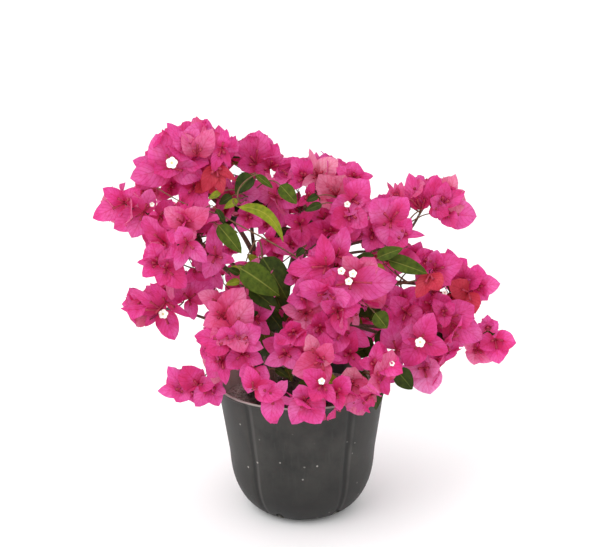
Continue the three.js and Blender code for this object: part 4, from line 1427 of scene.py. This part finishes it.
tube_finish = mottled("flower tube", 0.6, 300, 3, (0.24, 0.008, 0.03), (0.46, 0.02, 0.07))
joined("flower_tubes", tubes, [tube_finish], mass_nodes)
star_white = mottled("star white", 0.6, 700, 2, (0.80, 0.76, 0.68), (0.92, 0.91, 0.86))
star_throat = mottled("star throat", 0.6, 700, 2, (0.55, 0.45, 0.16), (0.74, 0.66, 0.36))
joined("flower_stars", stars, [star_white, star_throat], mass_nodes)

# ------------------------------------------------------------------------------
# The leaves
#
# Soft green leaves, ovate with a drawn-out tip and a short stalk, grow singly up the stems and twigs. Most
# are deep green, the young ones yellow-green, and some lie between.
# ------------------------------------------------------------------------------

LEAF_LENGTH = 0.050
LEAF_BREADTH = (0.27, 0.06)
LEAF_WIDEST = 0.38
LEAF_POINT = 1.7
LEAF_ROWS = 9
LEAF_COLUMNS = 4
LEAF_SIZES = (1, 0.85, 0.7)
LEAVES_IN_TUFT = 2
LEAF_STALK = 0.2  # of the leaf's length
LEAF_STALK_RADIUS = 0.0007
LEAF_STALK_BOW = 0.001
LEAF_ROOTS = (0.15, 0.8)  # where along the stem the first is, and how far on the last
LEAF_LEAN = (1.0, 0.6)  # radians off the way that the mass faces, and the play in it
LEAF_LENGTHS = (0.7, 0.5)
LEAF_DROOP = 0.25
LEAF_UPRIGHT = 0.35
DEEP_SHARE = 0.7  # of the leaves that are deep green, not young
SHOWN_LEAF_SEED = 5500913
leaf_places, leaf_faces = blade_grid(LEAF_ROWS, LEAF_COLUMNS)
leaf_uv = blade_uv(leaf_places)


def leaf_points(draw, breadth=0.0):
    """One leaf of unit length, grown along +X with its upper face up."""
    along, side = leaf_places[:, 0], leaf_places[:, 1]
    half = (breadth or drawn(draw, *LEAF_BREADTH)) * blade_width(along, LEAF_WIDEST, LEAF_POINT)
    fold = drawn(draw, 0.15, 0.25)
    droop = drawn(draw, 0.10, 0.25)
    z = fold * half * abs(side) - droop * along**2
    z += 0.02 * side**2 * np.sin(8 * along + 6 * next(draw))
    return np.stack([along, side * half, z], 1)


def leaf_at(root, along, up, length, draw, finish):
    """A leaf and its stalk."""
    across = up.cross(along).normalized()
    up = along.cross(across)
    base = root + along * (LEAF_STALK * length)
    bend = root.lerp(base, 0.5) + up * LEAF_STALK_BOW
    stalk = Limb(root, bend, base, lambda share: LEAF_STALK_RADIUS)
    blade = placed(leaf_points(draw) * length, base, along, across, up)
    return blade, tube(stalk, sides=4, ring_gap=0.006, finish=finish)


leaf_patches = []
for mass in masses:
    draw = numbers(mass.seed + 7)
    count = mass.leaves * LEAVES_IN_TUFT
    for i in range(count):
        root = mass.stem.point(LEAF_ROOTS[0] + LEAF_ROOTS[1] * (i + 0.5) / count)
        lean = LEAF_LEAN[0] + LEAF_LEAN[1] * (next(draw) - 0.5)
        along = leaning(mass.face, lean, i * GOLDEN_TURN + next(draw))
        along.z -= LEAF_DROOP
        along.normalize()
        length = LEAF_LENGTH * drawn(draw, *LEAF_LENGTHS)
        finish = 0 if next(draw) < DEEP_SHARE else 1
        own = numbers((mass.seed + i) * 1009)
        for size in LEAF_SIZES:
            blade, stalk = leaf_at(root, along, mass.leaf_face, length * size, own, finish)
            clear = not in_sky(blade) and not hides_shown(Vector(blade.mean(0)))
            if clear and keeps_in(mass, blade, CELL_OVERLAP, TIP_REACH):
                leaf_patches.append((blade, leaf_faces, leaf_uv, finish))
                leaf_patches.append(stalk)
                break


GREENS = {
    "deep": ((0.040, 0.062, 0.007), (0.016, 0.027, 0.004), (0.10, 0.13, 0.02)),
    "young": ((0.27, 0.30, 0.020), (0.12, 0.17, 0.010), (0.36, 0.34, 0.05)),
    "mid": ((0.085, 0.125, 0.011), (0.034, 0.056, 0.005), (0.20, 0.22, 0.04)),
}
leaf_shoots = []  # (root, tip, way) of the shoots that carry the shown leaves
draw = numbers(SHOWN_LEAF_SEED)
for green, base, tip, wide, *bow in SHOWN_LEAVES:
    finish = list(GREENS).index(green)
    root = on_ray(*base[:2], base[2] * MM)
    end = on_ray(*tip[:2], tip[2] * MM)
    along = (end - root).normalized()
    facing = -view_ray(*base[:2])
    up = (facing - along * facing.dot(along) + Vector((0, 0, LEAF_UPRIGHT))).normalized()
    across = up.cross(along).normalized()
    length = (end - root).length
    breadth = 0.5 * wide * (root - CAMERA_PLACE).length / view_reach / length
    blade = leaf_points(draw, breadth)
    blade[:, 1] += 4 * sum(bow) * blade[:, 0] * (1 - blade[:, 0])
    blade = placed(blade * length, root, along, across, along.cross(across))
    leaf_patches.append((blade, leaf_faces, leaf_uv, finish))
    leaf_shoots.append((carrier_of(root), root, along))


def leaf_finish(name, green, deep, rib):
    """A leaf's skin, with a pale midrib."""
    skin = Finish(name, 0.5, shine=0.12)
    across, along, _ = skin.parts(skin.own())
    midrib = skin.ramp(off_midrib(skin, across), (0.0, 1.0), (0.04, 0.0))
    mottle = skin.noise(skin.place(), 160)
    skin.roughened(midrib, 0.0005, 0.5)
    let_through(skin, skin.blended(midrib, skin.ramp(mottle, (0.3, deep), (0.7, green)), rib), 0.2)
    return skin.material


leaf_skins = [leaf_finish(f"{green} leaf", *colours) for green, colours in GREENS.items()]
joined("leaves", leaf_patches, leaf_skins, mass_nodes)

# ------------------------------------------------------------------------------
# The twigs
#
# Thin brown stems run through the masses. Green and reddish twigs leave them, and fork into the blossoms'
# stalks. Five longer shoots arch out bare between the blossoms.
# ------------------------------------------------------------------------------

TWIG_BEND = 0.4  # how far back from its tip a twig bends, as a share of its length

def twig_between(root, tip, way, root_radius, tip_radius):
    """A thin shoot that ends along this way."""
    bend = tip - way * (TWIG_BEND * (tip - root).length)
    return Limb(root, bend, tip, lambda share: lerp(root_radius, tip_radius, share))


STEM_RELIEF = 0.05
SPRAY_TWIG = (0.0013, 0.0009)  # radius at the root and at the tip
BLOSSOM_TWIG = (0.0008, 0.0007)
LEAF_TWIG = (0.0010, 0.0007)
twigs = [tube(mass.stem, 7, 0.006, relief=STEM_RELIEF, seed=mass.seed) for mass in masses]
for root, tip, axis, opened in sprays:
    twigs.append(tube(twig_between(root, tip, axis, *SPRAY_TWIG), sides=5, ring_gap=0.008, finish=1))
    for heart, facing, petals in opened:
        twigs.append(tube(twig_between(tip, heart, facing, *BLOSSOM_TWIG), sides=4, ring_gap=0.006, finish=1))
for root, tip, way in leaf_shoots:
    twigs.append(tube(twig_between(root, tip, way, *LEAF_TWIG), sides=5, ring_gap=0.006, finish=1))

# The longer shoots: columns, rows and depths (y in millimetres).
LONG_SHOOTS = [
    [
        *[(318, 275, -70), (300, 259, -80), (276, 245, -84), (241, 226, -84), (215, 212, -80)],
        *[(189, 208, -76), (157, 188, -64)],
    ],
    [(392, 240, -34), (405, 226, -30), (417, 218, -26), (428, 213, -24), (446, 212, -24)],
    [(405, 227, -30), (414, 213, -28), (421, 210, -26)],
    [(262, 233, -80), (250, 248, -84), (246, 262, -92)],
    [(240, 207, -82), (236, 192, -76), (247, 178, -66), (258, 174, -62)],
]
LONG_SHOOT_RADIUS = 0.0014
LONG_SHOOT_THINS = 0.45


def curved_through(places, radius):
    """The limbs of a shoot that runs along these places, rounded at each."""
    start, found = places[0], []
    last = len(places) - 2
    for i in range(1, last + 1):
        end = places[-1] if i == last else places[i].lerp(places[i + 1], 0.5)
        thick = [radius * (1 - LONG_SHOOT_THINS * (i - 1 + step) / last) for step in (0, 1)]
        found.append(Limb(start, places[i], end, lambda share, thick=thick: lerp(*thick, share)))
        start = end
    return found


for route in LONG_SHOOTS:
    places = [on_ray(column, row, depth * MM) for column, row, depth in route]
    places.insert(0, min(carriers, key=lambda place: (place - places[0]).length))
    for limb in curved_through(places, LONG_SHOOT_RADIUS):
        twigs.append(tube(limb, sides=6, ring_gap=0.005, finish=1))

young_bark = bark_finish("young bark", (0.10, 0.06, 0.035), (0.20, 0.14, 0.07), (0.30, 0.24, 0.13))
shoot_bark = bark_finish("shoot skin", (0.13, 0.035, 0.03), (0.15, 0.07, 0.035), (0.17, 0.14, 0.05))
joined("stems_and_twigs", twigs, [young_bark, shoot_bark], mass_nodes)

# ------------------------------------------------------------------------------
# The studio
#
# A plain pale floor and soft light from all round, with a large soft lamp over the camera's left shoulder.
# ------------------------------------------------------------------------------

FLOOR_SIZE = 600
FLOOR_WHITE = (0.95, 0.95, 0.95)
SKY_STRENGTH = 1.28
LAMP_PLACE = Vector((-1.2, -1.6, 2.4))
LAMP_AIM = Vector((0, 0, 0.3))
LAMP_SIZE = 1.6
LAMP_POWER = 29

bpy.ops.object.select_all(action="DESELECT")
bpy.ops.mesh.primitive_plane_add(size=FLOOR_SIZE, location=(0, 0, 0))
floor = bpy.context.object
floor.name = "studio_floor"
pale = Finish("pale floor", 0.9, shine=0.1)
pale.shader.inputs["Base Color"].default_value = (*FLOOR_WHITE, 1)
floor.data.materials.append(pale.material)

world = bpy.data.worlds.new("white studio")
world.use_nodes = True
background = world.node_tree.nodes["Background"]
background.inputs["Color"].default_value = (1, 1, 1, 1)
background.inputs["Strength"].default_value = SKY_STRENGTH
bpy.context.scene.world = world

bpy.ops.object.light_add(type="AREA", location=LAMP_PLACE)
lamp = bpy.context.object
lamp.name = "key_lamp"
lamp.data.shape = "SQUARE"
lamp.data.size = LAMP_SIZE
lamp.data.energy = LAMP_POWER
lamp.rotation_mode = "QUATERNION"
lamp.rotation_quaternion = (LAMP_AIM - LAMP_PLACE).to_track_quat("-Z", "Y")
bpy.context.scene.view_settings.view_transform = "Standard"
